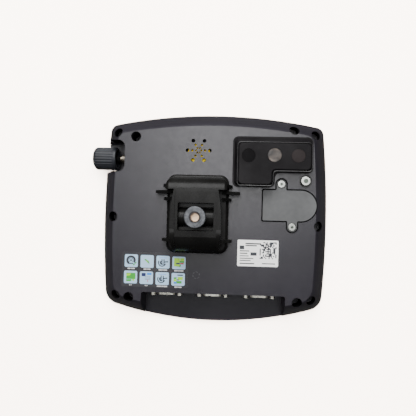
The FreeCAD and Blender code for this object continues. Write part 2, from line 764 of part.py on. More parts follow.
def speaker_parts():
    top = inner_top
    low = top - speaker_h
    cup = cyl(speaker_x, speaker_y, low, top, speaker_r)
    cone_z = top - cone_drop
    inner_r = speaker_r - speaker_wall
    cup = cut(cup, [cyl(speaker_x, speaker_y, cone_z - cone_t, top + past, inner_r),
                    cyl(speaker_x, speaker_y, low + speaker_floor, top, inner_r - cone_rim)])
    cone = Part.makeCone(inner_r - slip, inner_r - shank_gap, cone_t, V(speaker_x, speaker_y, cone_z - cone_t))
    magnet = cyl(speaker_x, speaker_y, low - magnet_h, low, magnet_r)
    return cup, cone, magnet


def dsub_parts():
    """Shells, inserts, pins and jack screws of the three nine-pin connectors."""
    shells, inserts, pins, jacks = [], [], [], []
    inner_y = port_wall_y + wall
    front_y = port_wall_y - dsub_reach
    low = board_z + board_t
    tail_y = inner_y + pin_tail
    for x in port_centres:
        flange = box(x - flange_w / 2, x + flange_w / 2, inner_y, inner_y + flange_t,
                     port_z - flange_h / 2 + 2 * flange_shift, port_z + flange_h / 2)
        shell = flange.fuse(dsub_block(x, front_y, inner_y + flange_t, 0))
        holes = [dsub_block(x, front_y - past, inner_y + flange_t + past, -dsub_skin)]
        holes += [cyl_y(x + s * jack_pitch / 2, inner_y - past, inner_y + flange_t + past, port_z,
                        jack_stud_r + slip) for s in (-1, 1)]
        shells.append(cut(shell, holes))
        block = box(x - insert_half, x + insert_half, inner_y + flange_t,
                    inner_y + flange_t + insert_depth, low, port_z + insert_rise)
        insert = block.fuse(dsub_block(x, inner_y - insert_out, inner_y + flange_t, -dsub_skin - slip))
        pin_holes = []
        for row, count in ((1, 5), (-1, 4)):
            for k in range(count):
                pin_x = x + (k - (count - 1) / 2) * pin_pitch
                pin_z = port_z + row * pin_row
                pins.append(cyl_y(pin_x, front_y + pin_sink, tail_y, pin_z, pin_r))
                pin_holes.append(cyl_y(pin_x, inner_y - insert_out - past, tail_y, pin_z, pin_r + slip))
        inserts.append(cut(insert, pin_holes))
        jacks += [jack_screw(x + s * jack_pitch / 2) for s in (-1, 1)]
    return shells, inserts, pins, jacks


def jack_screw(x):
    body = hexagon(0, 0, jack_af, 0, jack_len)
    body = body.fuse(cyl(0, 0, -wall - flange_t - jack_stud_out, slip, jack_stud_r))
    body = body.cut(cyl(0, 0, jack_len - jack_hole_depth, jack_len + past, jack_hole_r))
    body.rotate(V(0, 0, 0), V(1, 0, 0), 90)
    body.translate(V(x, port_wall_y, port_z))
    return body


# ---------------------------------------------------------------- knob
def knob():
    start, end = -knob_reach, -knob_reach + knob_length
    body = cyl_x(start, end, knob_y, knob_z, knob_r)
    rim = [e for e in body.Edges if e.BoundBox.XMax < start + 1e-6]
    body = body.makeFillet(knob_round, rim)
    grooves = []
    for k in range(rib_count):
        a = 2 * math.pi * k / rib_count
        grooves.append(cyl_x(start - past, end - rib_stop, knob_y + knob_r * math.cos(a),
                             knob_z + knob_r * math.sin(a), rib_r))
    hollow = cyl_x(end - skirt_depth, end + past, knob_y, knob_z, knob_r - skirt_wall)
    bore = cyl_x(start + knob_bore_stop, end + past, knob_y, knob_z, stem_r + slip)
    return body.cut(Part.makeCompound(grooves)).cut(hollow).cut(bore)


def stem_end():
    """Inner end of the stem, where it meets the plunger of the encoder."""
    return bay_x + wall + stem_in


def knob_stem():
    return cyl_x(-knob_reach + knob_bore_stop + slip, stem_end(), knob_y, knob_z, stem_r)


def encoder_body():
    half = encoder_side / 2
    low_x = bay_x + wall
    case = box(low_x, low_x + encoder_depth, knob_y - half, knob_y + half, knob_z - half, knob_z + half)
    bushing = cyl_x(bay_x - bushing_out, low_x, knob_y, knob_z, bushing_r)
    front, rear = low_x + encoder_front, low_x + encoder_depth - encoder_rear
    inner = cyl_x(front, rear, knob_y, knob_z, stem_r + rotor_gap)
    bore = cyl_x(bay_x - bushing_out - past, front + past / 2, knob_y, knob_z, stem_r + running)
    return case.fuse(bushing).cut(inner).cut(bore)


def encoder_plunger():
    return cyl_x(stem_end(), stem_end() + plunger_t, knob_y, knob_z, plunger_r)


def encoder_washer():
    disc = cyl_x(bay_x - washer_h, bay_x, knob_y, knob_z, washer_r)
    return disc.cut(cyl_x(bay_x - washer_h - past, bay_x + past, knob_y, knob_z, bushing_r + slip))


def encoder_nut():
    nut = hexagon(0, 0, nut_r * math.sqrt(3), 0, nut_h)
    nut.rotate(V(0, 0, 0), V(0, 1, 0), -90)
    nut.translate(V(bay_x - washer_h, knob_y, knob_z))
    return nut.cut(cyl_x(bay_x - washer_h - nut_h - past, bay_x, knob_y, knob_z, bushing_r + slip))


# ---------------------------------------------------------------- radio cover
def radio_cover():
    top = depth + radio_h
    step = prism(radio_face(0, 0), depth, depth + radio_step)
    body = radio_block(radio_step, depth + radio_step / 2, top)
    body = body.makeFillet(radio_edge, [e for e in body.Edges if abs(e.BoundBox.ZMin - top) < 1e-6])
    solid = fuse([step, body])
    hollow = radio_block(radio_step + radio_wall, depth - past, top - radio_wall)
    posts = fuse([cyl(x, y, depth, top - radio_wall + past, radio_boss_r) for x, y in radio_screws])
    solid = fuse([solid.cut(hollow), posts.common(solid)])
    cuts = [cyl(x, y, depth - past, top - radio_wall, screw_r + slip) for x, y in radio_screws]
    cuts += [cyl(x, y, top - disc_t, top + past, disc_r + slip) for x, y in disc_places]
    return cut(solid, cuts)


def radio_cover_screws():
    length = wall + radio_h - radio_wall - radio_roof_bite
    return [socket_screw(x, y, inner_top, small_head_r, small_head_h, screw_r, length, small_socket_af, up=-1)
            for x, y in radio_screws]


def cover_disc(index, height):
    x, y = disc_places[index]
    disc = cyl(x, y, depth + radio_h - disc_t, depth + radio_h - disc_t + height, disc_r)
    top = [e for e in disc.Edges if abs(e.BoundBox.ZMin - depth - radio_h + disc_t - height) < 1e-6]
    return disc.makeChamfer(disc_chamfer, top)


def radio_board():
    half = patch_side / 2 + patch_border
    return box(patch_x - half, patch_x + half, patch_y - half, patch_y + half, depth, depth + radio_board_t)


def patch_antenna():
    half = patch_side / 2
    low, high = depth + radio_board_t, depth + radio_board_t + patch_t
    block = box(patch_x - half, patch_x + half, patch_y - half, patch_y + half, low, high)
    return block.makeChamfer(patch_chamfer, [e for e in block.Edges if abs(e.BoundBox.ZMin - high) < 1e-6])


# ---------------------------------------------------------------- door, earth screw, labels
def service_door():
    door, _ = door_face()
    plate = prism(soften(door, door_corner), depth - door_t, depth)
    cuts = [cyl(x, y, depth - door_t - past, depth + past, screw_r + shank_gap) for x, y in ear_places()]
    cuts += [cyl(x, y, door_screw_seat(), depth + past, door_head_r + head_gap) for x, y in ear_places()]
    return cut(plate, cuts)


def door_seal():
    _, body = door_face()
    low = depth - door_t - door_seal_t
    return ring(grow(body, -door_seal_out), grow(body, -door_seal_in), low, low + door_seal_t)


def door_screw_seat():
    return depth - door_head_h + door_head_out


def door_screws():
    """Screws into the bosses under the door's ears; their ends stop short of the bottom of the holes."""
    end = depth - door_t - door_seal_t - wall - door_bite + door_screw_stop
    return [socket_screw(x, y, door_screw_seat(), door_head_r, door_head_h, screw_r, door_screw_seat() - end,
                         socket_af) for x, y in ear_places()]


def earth_washer():
    low = depth - earth_sink
    disc = cyl(earth_x, earth_y, low, low + earth_washer_t, earth_washer_r)
    return disc.cut(cyl(earth_x, earth_y, low - past, low + earth_washer_t + past, earth_r + slip))


def earth_screw():
    seat = depth - earth_sink + earth_washer_t
    return socket_screw(earth_x, earth_y, seat, earth_head_r, earth_head_h, earth_r, earth_shank, earth_hex)


def type_label():
    return rounded_block(type_x0, type_x1, type_y0, type_y1, depth, depth + label_t, label_corner)


def icon_label():
    return rounded_block(icon_x0, icon_x1, icon_y0, icon_y1, depth, depth + label_t, label_corner)


# ---------------------------------------------------------------- arm holder
def mirror_pair(shape):
    """A shape and its copy on the other side of the holder's middle plane."""
    return [shape, shape.mirror(V(hold_x, 0, 0), V(1, 0, 0))]


def holder_base():
    top = depth + base_h
    block = rounded_block(hold_x - base_half_x, hold_x + base_half_x, base_y0, base_y1, depth, top, base_corner)
    block = block.makeFillet(base_round, [e for e in block.Edges if abs(e.BoundBox.ZMin - top) < 1e-6])
    solids = [block]
    for y, reach in fins:
        inner = head_half_x if y > head_y else rail_half_mid
        x_in, x_out = hold_x + inner + gap, hold_x + base_half_x + reach
        fin = polygon([(x_in, y - fin_t / 2, depth), (x_in, y - fin_t / 2, depth + fin_top),
                       (x_out, y - fin_t / 2, depth + fin_tip), (x_out, y - fin_t / 2, depth)])
        solids += mirror_pair(fin.extrude(V(0, fin_t, 0)))
    saddle = box(hold_x + cheek_x, hold_x + cheek_x + saddle_w, tilt_y - saddle_half_y, tilt_y + saddle_half_y,
                 depth, tilt_z)
    solids += mirror_pair(saddle)
    cradle_y0, cradle_y1 = tilt_y - barrel_r - ledge_gap, tilt_y + barrel_r + ledge_gap
    for y0, y1 in ((window_low + gap, cradle_y0), (cradle_y1, window_high - gap)):
        solids.append(box(hold_x - cheek_x + gap, hold_x + cheek_x - gap, y0, y1, depth, top + ledge_h))
    solid = fuse(solids)
    cuts = [cyl_x(hold_x - base_half_x, hold_x + base_half_x, tilt_y, tilt_z, trunnion_r + running)]
    cuts.append(box(hold_x - cheek_x, hold_x + cheek_x, cradle_y0, cradle_y1, tilt_z - barrel_r - cradle_drop,
                    tilt_z + past))
    for x, y in base_screws:
        cuts.append(cyl(hold_x + x, y, depth - past, top + past, screw_r + shank_gap))
        cuts.append(cyl(hold_x + x, y, depth + base_counterbore, top + past, head_r + head_gap))
    for x, y in clamp_screws_at:
        cuts.append(cyl(hold_x + x, y, depth - past, top + past, screw_r + shank_gap))
        cuts.append(cyl(hold_x + x, y, depth - past, clamp_screw_seat(), head_r + head_gap))
    return cut(solid, cuts)


def clamp_profile():
    """Section of the clamp in the YZ plane: two round flanks on short walls, and a flat crown."""
    foot = depth + base_h
    wall_top = foot + clamp_wall_h
    crown = tilt_z + clamp_top
    flank_z = wall_top + (crown - wall_top) * arc_share_z
    flank_low = V(0, clamp_y0 + (clamp_flat_low - clamp_y0) * arc_share_y, flank_z)
    flank_high = V(0, clamp_y1 - (clamp_y1 - clamp_flat_high) * arc_share_y, flank_z)
    low, crown_low = V(0, clamp_y0, wall_top), V(0, clamp_flat_low, crown)
    high, crown_high = V(0, clamp_y1, wall_top), V(0, clamp_flat_high, crown)
    foot_low, foot_high = V(0, clamp_y0, foot), V(0, clamp_y1, foot)
    edges = [Part.makeLine(foot_low, low), Part.Arc(low, flank_low, crown_low).toShape(),
             Part.makeLine(crown_low, crown_high), Part.Arc(crown_high, flank_high, high).toShape(),
             Part.makeLine(high, foot_high), Part.makeLine(foot_high, foot_low)]
    return Part.Face(Part.Wire(edges))


def across(profile, half):
    """A section in the YZ plane, extruded to both sides of the holder's middle plane."""
    solid = profile.extrude(V(2 * half, 0, 0))
    solid.translate(V(hold_x - half, 0, 0))
    return solid


def clamp_head():
    """Wide upper end of the clamp, its outer edges rounded."""
    foot = depth + base_h
    crown = tilt_z + clamp_top
    x0, x1 = hold_x - head_half_x, hold_x + head_half_x
    plan = rounded_face(x0, x1, head_y - 2 * head_corner, clamp_y1, head_corner)
    head = across(clamp_profile(), head_half_x).common(prism(plan, foot, crown))
    head = head.common(box(x0, x1, head_y, clamp_y1, foot, crown))
    top = max(head.Faces, key=lambda f: f.BoundBox.ZMax - f.BoundBox.ZMin if f.normalAt(0, 0).z > 0.05 else 0)
    outer = [e for e in top.Edges if e.BoundBox.YMax > head_y + 1e-3]
    return head.makeFillet(head_round, outer)


def rail_plan():
    """Plan of the arch with its rails: two bulging sides and straight ends."""
    side = Part.Arc(V(hold_x + rail_half_low, clamp_y0, 0), V(hold_x + rail_half_mid, tilt_y, 0),
                    V(hold_x + rail_half_high, head_y, 0))
    right, left = mirror_pair(side.toShape())
    ends = [Part.makeLine(V(hold_x - half, y, 0), V(hold_x + half, y, 0))
            for half, y in ((rail_half_low, clamp_y0), (rail_half_high, head_y))]
    return Part.Face(Part.Wire(Part.__sortEdges__([right, left] + ends)))


def holder_clamp():
    foot = depth + base_h
    crown = tilt_z + clamp_top
    plan = rail_plan()
    body = across(clamp_profile(), head_half_x).common(prism(plan, foot, crown))
    above = crown + 2 * rail_rise
    arch = box(hold_x - arch_half, hold_x + arch_half, clamp_y0 - past, clamp_y1 + past, foot, above)
    rails = across(grow(clamp_profile(), rail_rise), head_half_x).common(prism(plan, foot, above))
    solid = fuse([body, rails.cut(arch), clamp_head()])
    saddle_out = hold_x + cheek_x + saddle_w + saddle_gap
    saddle_y0, saddle_y1 = tilt_y - saddle_half_y - saddle_gap, tilt_y + saddle_half_y + saddle_gap
    slot = box(hold_x + cheek_x - past, saddle_out, saddle_y0, saddle_y1, foot - past, tilt_z)
    bore = cyl_x(hold_x, saddle_out, tilt_y, tilt_z, trunnion_r + running)
    cuts = [rounded_block(hold_x - cheek_x, hold_x + cheek_x, window_low, window_high,
                          foot - past, crown + past, window_corner_r)]
    cuts += mirror_pair(slot) + mirror_pair(bore)
    hole_top = foot + clamp_grip + screw_bite
    cuts += [cyl(hold_x + x, y, foot - past, hole_top, screw_r + slip) for x, y in clamp_screws_at]
    return cut(solid, cuts)


def clamp_screw_seat():
    return depth + head_h + shank_gap


def clamp_screws():
    """Screws that come up through the base, their heads hidden in its underside."""
    seat = clamp_screw_seat()
    length = depth + base_h + clamp_grip - seat
    return [socket_screw(hold_x + x, y, seat, head_r, head_h, screw_r, length, socket_af, up=-1)
            for x, y in clamp_screws_at]


def holder_screws():
    seat = depth + base_counterbore
    return [socket_screw(hold_x + x, y, seat, head_r, head_h, screw_r, base_screw_len, socket_af)
            for x, y in base_screws]


def tilt_barrel():
    half = cheek_x - gap
    body = cyl_x(hold_x - half, hold_x + half, tilt_y, tilt_z, barrel_r)
    pins = cyl_x(hold_x - half - trunnion_len, hold_x + half + trunnion_len, tilt_y, tilt_z, trunnion_r)
    seat = cyl(hold_x, tilt_y, tilt_z + barrel_r - hub_seat, hub_top, hub_neck_r + slip)
    hole = cyl(hold_x, tilt_y, tilt_z - spigot_len, hub_top, hub_spigot_r + slip)
    return cut(fuse([body, pins]), [seat, hole])


def hub():
    disc = cyl(hold_x, tilt_y, hub_disc_z, hub_top, hub_r)
    rims = [e for e in disc.Edges if abs(e.BoundBox.ZMin - hub_top) < 1e-6]
    disc = disc.makeFillet(hub_round, rims)
    neck = cyl(hold_x, tilt_y, tilt_z + barrel_r - hub_seat, hub_disc_z, hub_neck_r)
    spigot = cyl(hold_x, tilt_y, tilt_z - spigot_len, tilt_z + barrel_r, hub_spigot_r)
    seat = cyl(hold_x, tilt_y, insert_bottom(), hub_top + past, insert_r + slip)
    mouth = Part.makeCone(insert_r, insert_r + insert_lead, insert_lead,
                          V(hold_x, tilt_y, hub_top - insert_lead))
    return cut(fuse([disc, neck, spigot]), [seat, mouth])


def insert_bottom():
    return hub_top - insert_sink - thread_depth - insert_floor


def thread_insert():
    top = hub_top - insert_sink
    body = cyl(hold_x, tilt_y, insert_bottom(), top, insert_r)
    return body.cut(cyl(hold_x, tilt_y, top - thread_depth, top + past, thread_r))


# ---------------------------------------------------------------- export
def export(name, shapes):
    solids = []
    for shape in shapes if isinstance(shapes, list) else [shapes]:
        solids += shape.Solids
    part = solids[0] if len(solids) == 1 else Part.makeCompound(solids)
    part.translate(V(shift_x, 0, 0))
    part.exportStep(os.path.join("parts", name + ".step"))
    print(name, len(solids), "solids", round(part.Volume), "mm3", "valid" if part.isValid() else "INVALID")


os.makedirs("parts", exist_ok=True)
plan = footprint()
export("back_cover", back_cover())
export("front_bezel", front_bezel(plan))
export("housing_seal", seal_ring(plan))
export("housing_screws", housing_screws())
export("touch_glass", touch_glass())
export("screen_gasket", screen_gasket())
export("display_panel", display_panel())
export("display_bracket", display_bracket())
export("bracket_screws", bracket_screws())
for number, x in enumerate(key_xs, 1):
    export("front_key_%d" % number, front_key(x))
export("key_domes", key_domes())
export("key_board", key_board())
export("key_board_screws", key_board_screws())
export("main_board", main_board())
export("board_screws", board_screws())
export("shield_can", shield_can())
export("card_socket", card_socket())
export("memory_card", memory_card())
export("display_ribbon", display_ribbon())
speaker_cup, speaker_cone, speaker_magnet = speaker_parts()
export("speaker_cup", speaker_cup)
export("speaker_cone", speaker_cone)
export("speaker_magnet", speaker_magnet)
shells, inserts, pins, jacks = dsub_parts()
for number in (1, 2, 3):
    export("connector_shell_%d" % number, shells[number - 1])
    export("connector_insert_%d" % number, inserts[number - 1])
export("connector_pins", pins)
export("jack_screws", jacks)
export("knob", knob())
export("knob_stem", knob_stem())
export("encoder_body", encoder_body())
export("encoder_plunger", encoder_plunger())
export("encoder_washer", encoder_washer())
export("encoder_nut", encoder_nut())
export("radio_cover", radio_cover())
export("radio_cover_screws", radio_cover_screws())
export("cover_disc", cover_disc(1, disc_t))
export("cover_plug", cover_disc(2, disc_t - plug_sink))
export("radio_board", radio_board())
export("patch_antenna", patch_antenna())
export("service_door", service_door())
export("door_seal", door_seal())
export("door_screws", door_screws())
export("earth_washer", earth_washer())
export("earth_screw", earth_screw())
export("type_label", type_label())
export("icon_label", icon_label())
export("holder_base", holder_base())
export("holder_clamp", holder_clamp())
export("holder_screws", holder_screws())
export("clamp_screws", clamp_screws())
export("tilt_barrel", tilt_barrel())
export("hub", hub())
export("thread_insert", thread_insert())
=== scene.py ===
import bmesh
import bpy
import json
import math
import numpy as np
from mathutils.bvhtree import BVHTree
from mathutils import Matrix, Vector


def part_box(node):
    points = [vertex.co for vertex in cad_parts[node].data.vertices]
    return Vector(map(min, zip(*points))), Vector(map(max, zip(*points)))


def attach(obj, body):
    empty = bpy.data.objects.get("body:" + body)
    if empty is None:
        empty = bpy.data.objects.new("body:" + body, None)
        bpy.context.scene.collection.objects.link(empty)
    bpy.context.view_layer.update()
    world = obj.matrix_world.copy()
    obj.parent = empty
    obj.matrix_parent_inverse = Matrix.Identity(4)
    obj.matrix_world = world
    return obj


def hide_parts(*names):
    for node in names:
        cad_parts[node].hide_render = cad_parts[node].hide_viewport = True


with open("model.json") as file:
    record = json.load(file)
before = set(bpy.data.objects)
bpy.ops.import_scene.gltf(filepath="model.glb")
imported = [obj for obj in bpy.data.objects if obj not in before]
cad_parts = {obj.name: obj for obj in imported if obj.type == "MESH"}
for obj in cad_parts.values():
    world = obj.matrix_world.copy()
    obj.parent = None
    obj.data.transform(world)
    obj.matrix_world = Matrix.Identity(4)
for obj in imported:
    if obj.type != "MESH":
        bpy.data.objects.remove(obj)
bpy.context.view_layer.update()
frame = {"nodes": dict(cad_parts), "record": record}
nodes = frame["nodes"]
mm = 0.001


# where things are, all read from the frame
def low(node):
    return np.array(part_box(node)[0])


def high(node):
    return np.array(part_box(node)[1])


def middle(node):
    return (low(node) + high(node)) / 2


# meshes from grids and outlines, all in metres
def meshObject(name, points, faces, body, material, smooth=True):
    # one mesh object in place with its faces turned outwards, riding on a body
    mesh = bpy.data.meshes.new(name)
    mesh.from_pydata(points.tolist(), [], faces)
    shape = bmesh.new()
    shape.from_mesh(mesh)
    bmesh.ops.recalc_face_normals(shape, faces=shape.faces)
    shape.to_mesh(mesh)
    shape.free()
    mesh.update()
    mesh.polygons.foreach_set("use_smooth", np.full(len(mesh.polygons), smooth))
    piece = bpy.data.objects.new(name, mesh)
    bpy.context.scene.collection.objects.link(piece)
    mesh.materials.append(material)
    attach(piece, body)
    return piece


def gridFaces(rows, columns, closeRows=False, closeColumns=False, start=0):
    # quads of a grid of rows by columns points; a closed direction joins its end to its start
    r = np.arange(rows if closeRows else rows - 1)[:, None]
    c = np.arange(columns if closeColumns else columns - 1)[None, :]
    r2, c2 = (r + 1) % rows, (c + 1) % columns
    quads = np.stack([r * columns + c, r * columns + c2, r2 * columns + c2, r2 * columns + c], axis=-1)
    return (quads.reshape(-1, 4) + start).tolist()


def spun(along, radius, turns):
    # surface of revolution about X: ring i has its centre at along[i] and its radius is radius[i], or
    # radius[i] times the wave at each turn; both ends close in a single point on the axis
    rings = np.stack([np.broadcast_to(along[1:-1, None], radius[1:-1].shape),
                      radius[1:-1] * np.cos(turns), radius[1:-1] * np.sin(turns)], axis=-1)
    points = np.concatenate([[[along[0], 0, 0]], rings.reshape(-1, 3), [[along[-1], 0, 0]]])
    count, last = len(turns), len(points) - 1
    c = np.arange(count)
    c2 = (c + 1) % count
    faces = gridFaces(len(along) - 2, count, closeColumns=True, start=1)
    faces += np.stack([np.zeros(count, int), 1 + c2, 1 + c], axis=-1).tolist()
    faces += np.stack([np.full(count, last), last - count + c, last - count + c2], axis=-1).tolist()
    return points, faces


def slabs(name, outlines, bottom, top, body, material):
    # flat shapes with a thickness: each outline stands at two levels, joined by sides and closed by caps
    points, faces, start = [], [], 0
    for line in outlines:
        n = len(line)
        i = np.arange(n)
        points += [np.column_stack([line, np.full(n, bottom)]), np.column_stack([line, np.full(n, top)])]
        faces += [(start + n + i).tolist(), (start + i[::-1]).tolist()]
        faces += (start + np.stack([i, (i + 1) % n, (i + 1) % n + n, i + n], axis=-1)).tolist()
        start += 2 * n
    return meshObject(name, np.concatenate(points), faces, body, material, smooth=False)


def roundRect(x, y, wide, tall, corner, steps=5):
    # rectangle about (x, y) with quarter circles at its corners
    turn = np.linspace(0, math.pi / 2, steps)
    corners = [(1, 1, 0), (-1, 1, 1), (-1, -1, 2), (1, -1, 3)]
    return np.concatenate([np.column_stack([
        x + sx * (wide / 2 - corner) + corner * np.cos(turn + quarter * math.pi / 2),
        y + sy * (tall / 2 - corner) + corner * np.sin(turn + quarter * math.pi / 2)])
        for sx, sy, quarter in corners])


def arcBand(x, y, radius, width, start, end, steps=22):
    # band along a circle from one angle to another, in degrees
    turn = np.radians(np.linspace(start, end, steps))
    ring = np.column_stack([np.cos(turn), np.sin(turn)])
    return np.concatenate([ring * (radius + width / 2), ring[::-1] * (radius - width / 2)]) + (x, y)


def disc(x, y, radius, steps=40):
    turn = np.linspace(0, 2 * math.pi, steps, endpoint=False)
    return np.column_stack([x + radius * np.cos(turn), y + radius * np.sin(turn)])


# materials
def softNoise(tree, coords, scale, detail=3.0, roughness=0.5):
    noise = tree.nodes.new("ShaderNodeTexNoise")
    noise.inputs["Scale"].default_value = scale
    noise.inputs["Detail"].default_value = detail
    noise.inputs["Roughness"].default_value = roughness
    tree.links.new(coords, noise.inputs["Vector"])
    return noise.outputs["Fac"]


def spread(tree, value, start, end, newStart, newEnd):
    # maps a value from one range to another, clamped
    node = tree.nodes.new("ShaderNodeMapRange")
    for name, number in (("From Min", start), ("From Max", end), ("To Min", newStart), ("To Max", newEnd)):
        node.inputs[name].default_value = number
    tree.links.new(value, node.inputs["Value"])
    return node.outputs["Result"]


def blendColours(tree, share, first, second):
    node = tree.nodes.new("ShaderNodeMix")
    node.data_type = "RGBA"
    tree.links.new(share, node.inputs["Factor"])
    node.inputs["A"].default_value = (*first, 1)
    node.inputs["B"].default_value = (*second, 1)
    return node.outputs["Result"]


surfaceLook = {"cloudRange": (0.35, 0.7), "cloudDetail": 4.0, "patchRange": (0.3, 0.7), "patchGrains": 9,
               "grainDetail": 2.0, "grainRoughness": 0.6, "paler": 0.004}


def finish(name, colour, tint=None, metal=0.0, rough=(0.45, 0.6), grainSize=0.5, grainDepth=0.02,
           cloudSize=30.0, wear=0.35, coat=0.0, specular=0.5, stretch=(1, 1, 1)):
    # moulded or machined surface: cloudy colour, uneven gloss in patches and fine grain; sizes are in
    # millimetres, and patches and grain are noise on Object coordinates, stretched along a direction
    material = bpy.data.materials.new(name)
    material.use_nodes = True
    tree = material.node_tree
    shader = tree.nodes["Principled BSDF"]
    shader.inputs["Metallic"].default_value = metal
    shader.inputs["Coat Weight"].default_value = coat
    shader.inputs["Specular IOR Level"].default_value = specular
    place = tree.nodes.new("ShaderNodeTexCoord").outputs["Object"]
    turn = tree.nodes.new("ShaderNodeMapping")
    turn.inputs["Scale"].default_value = stretch
    tree.links.new(place, turn.inputs["Vector"])
    along = turn.outputs["Vector"]
    cloud = softNoise(tree, place, 1 / (cloudSize * mm), surfaceLook["cloudDetail"])
    second = tint if tint else tuple(min(1, c * (1 + wear) + surfaceLook["paler"]) for c in colour)
    share = spread(tree, cloud, *surfaceLook["cloudRange"], 0.0, 1.0)
    tree.links.new(blendColours(tree, share, colour, second), shader.inputs["Base Color"])
    patch = softNoise(tree, along, 1 / (grainSize * surfaceLook["patchGrains"] * mm))
    tree.links.new(spread(tree, patch, *surfaceLook["patchRange"], *rough), shader.inputs["Roughness"])
    grain = softNoise(tree, along, 1 / (grainSize * mm), surfaceLook["grainDetail"],
                      surfaceLook["grainRoughness"])
    bump = tree.nodes.new("ShaderNodeBump")
    bump.inputs["Strength"].default_value = 1.0
    bump.inputs["Distance"].default_value = grainDepth * mm
    tree.links.new(grain, bump.inputs["Height"])
    tree.links.new(bump.outputs["Normal"], shader.inputs["Normal"])
    return material


finishes = {
    "housing": finish("housingPlastic", (0.0122, 0.0108, 0.0150), wear=0.25, specular=0.4, rough=(0.31, 0.39),
                      grainSize=0.45, grainDepth=0.035, cloudSize=60),
    "radio": finish("radioPlastic", (0.0062, 0.0056, 0.0062), specular=0.05, rough=(0.36, 0.46),
                    grainSize=0.6, grainDepth=0.008),
    "door": finish("doorPlastic", (0.060, 0.061, 0.062), rough=(0.55, 0.7), grainSize=0.4, grainDepth=0.02),
    "holder": finish("holderPlastic", (0.0046, 0.0045, 0.0042), specular=0.07, rough=(0.22, 0.32),
                     grainSize=0.7, grainDepth=0.012),
    "rubber": finish("blackRubber", (0.018, 0.018, 0.019), rough=(0.7, 0.85), grainSize=0.3, grainDepth=0.02),
    "knob": finish("knobPlastic", (0.014, 0.0152, 0.019), specular=0.3, rough=(0.42, 0.55), grainSize=0.3,
                   grainDepth=0.015),
    "zinc": finish("brightZinc", (0.30, 0.31, 0.29), metal=1.0, rough=(0.24, 0.42), grainSize=0.5,
                   grainDepth=0.006),
    "blackened": finish("blackenedSteel", (0.02, 0.02, 0.022), metal=0.4, rough=(0.4, 0.55), grainSize=0.4,
                        grainDepth=0.004),
    "steel": finish("sheetSteel", (0.6, 0.6, 0.6), metal=1.0, rough=(0.3, 0.45), grainSize=0.3,
                    grainDepth=0.005, stretch=(0.1, 1, 1)),
    "cast": finish("castZinc", (0.050, 0.052, 0.056), metal=0.85, rough=(0.34, 0.55), grainSize=0.7,
                   grainDepth=0.17, cloudSize=3.5, wear=0.9),
    "brass": finish("turnedBrass", (0.62, 0.43, 0.29), metal=1.0, rough=(0.25, 0.4), grainSize=0.3,
                    grainDepth=0.005),
    "nickel": finish("nickelPlate", (0.78, 0.74, 0.64), metal=1.0, rough=(0.22, 0.38), grainSize=0.4,
                     grainDepth=0.004),
    "glass": finish("touchGlass", (0.012, 0.012, 0.014), rough=(0.06, 0.12), grainSize=2.0, grainDepth=0.001,
                    coat=0.5),
    "screen": finish("darkScreen", (0.02, 0.022, 0.03), rough=(0.2, 0.3), grainSize=0.3, grainDepth=0.002),
    "board": finish("solderMask", (0.02, 0.12, 0.05), rough=(0.3, 0.45), grainSize=0.8, grainDepth=0.01),
    "insulator": finish("blackInsulator", (0.02, 0.02, 0.02), rough=(0.35, 0.5), grainSize=0.4,
                        grainDepth=0.01),
    "gold": finish("goldFlash", (0.9, 0.68, 0.3), metal=1.0, rough=(0.2, 0.3), grainSize=0.4,
                   grainDepth=0.002),
    "cone": finish("yellowCone", (0.95, 0.56, 0.001), specular=0.08, rough=(0.5, 0.6), grainSize=0.6,
                   grainDepth=0.01),
    "ceramic": finish("firedCeramic", (0.6, 0.52, 0.38), rough=(0.5, 0.6), grainSize=0.5, grainDepth=0.01),
    "ribbon": finish("ribbonFilm", (0.45, 0.22, 0.04), rough=(0.25, 0.35), grainSize=0.6, grainDepth=0.003),
    "disc": finish("brownDisc", (0.010, 0.008, 0.007), tint=(0.078, 0.060, 0.048), metal=0.4,
                   rough=(0.3, 0.5), cloudSize=9, grainSize=0.6, grainDepth=0.01),
    "paper": finish("labelPaper", (0.94, 0.93, 0.905), rough=(0.45, 0.55), grainSize=0.5, grainDepth=0.004,
                    wear=0.03),
    "film": finish("labelFilm", (0.022, 0.021, 0.024), specular=0.3, rough=(0.34, 0.45), grainSize=0.8,
                   grainDepth=0.005),
    "magnet": finish("magnetSteel", (0.4, 0.4, 0.4), metal=1.0, rough=(0.35, 0.5), grainSize=0.4,
                     grainDepth=0.005),
}
ownFinish = {       # nodes that look unlike the others of their slot
    "encoder_body": finish("dullSteel", (0.13, 0.115, 0.095), metal=1.0, rough=(0.38, 0.5), grainSize=0.3,
                           grainDepth=0.004),
    "knob_stem": finish("stemSteel", (0.20, 0.17, 0.13), metal=1.0, rough=(0.3, 0.42), grainSize=0.3,
                        grainDepth=0.003),
    "cover_plug": finish("plugPlastic", (0.016, 0.0125, 0.0125), specular=0.08, rough=(0.5, 0.6),
                         grainSize=0.5, grainDepth=0.01),
    # the earth washer is given dark metal: painted shade round the earth screw's head
    "earth_washer": finish("washerPaintedShade", (0.05, 0.05, 0.05), metal=1.0, rough=(0.4, 0.5), grainSize=0.4,
                           grainDepth=0.004),
    "thread_insert": finish("darkBush", (0.045, 0.035, 0.03), metal=0.9, rough=(0.35, 0.5), grainSize=0.4,
                            grainDepth=0.01),
}
for part in frame["record"]["subparts"]:
    mesh = nodes[part["node"]].data
    mesh.materials.clear()
    mesh.materials.append(ownFinish.get(part["node"], finishes[part["material_slot"]]))
print("materials set")


# finger grip of the knob
knobLook = {"ribs": 24, "grooveDepth": 0.55, "grooveSharpness": 5, "domeDepth": 5.0, "domePower": 2.3,
            "gripFrom": 1.04, "collar": 2.6, "skirtDepth": 3.0, "skirtWall": 2.4, "stemRadius": 3.05,
            "boreStop": 7.0, "edge": 0.6, "edgeStep": 0.15, "fade": 0.8, "fadeFrom": 0.55, "fadeOver": 0.4,
            "domeRings": 18, "gripRings": 26, "pointsPerRib": 12}


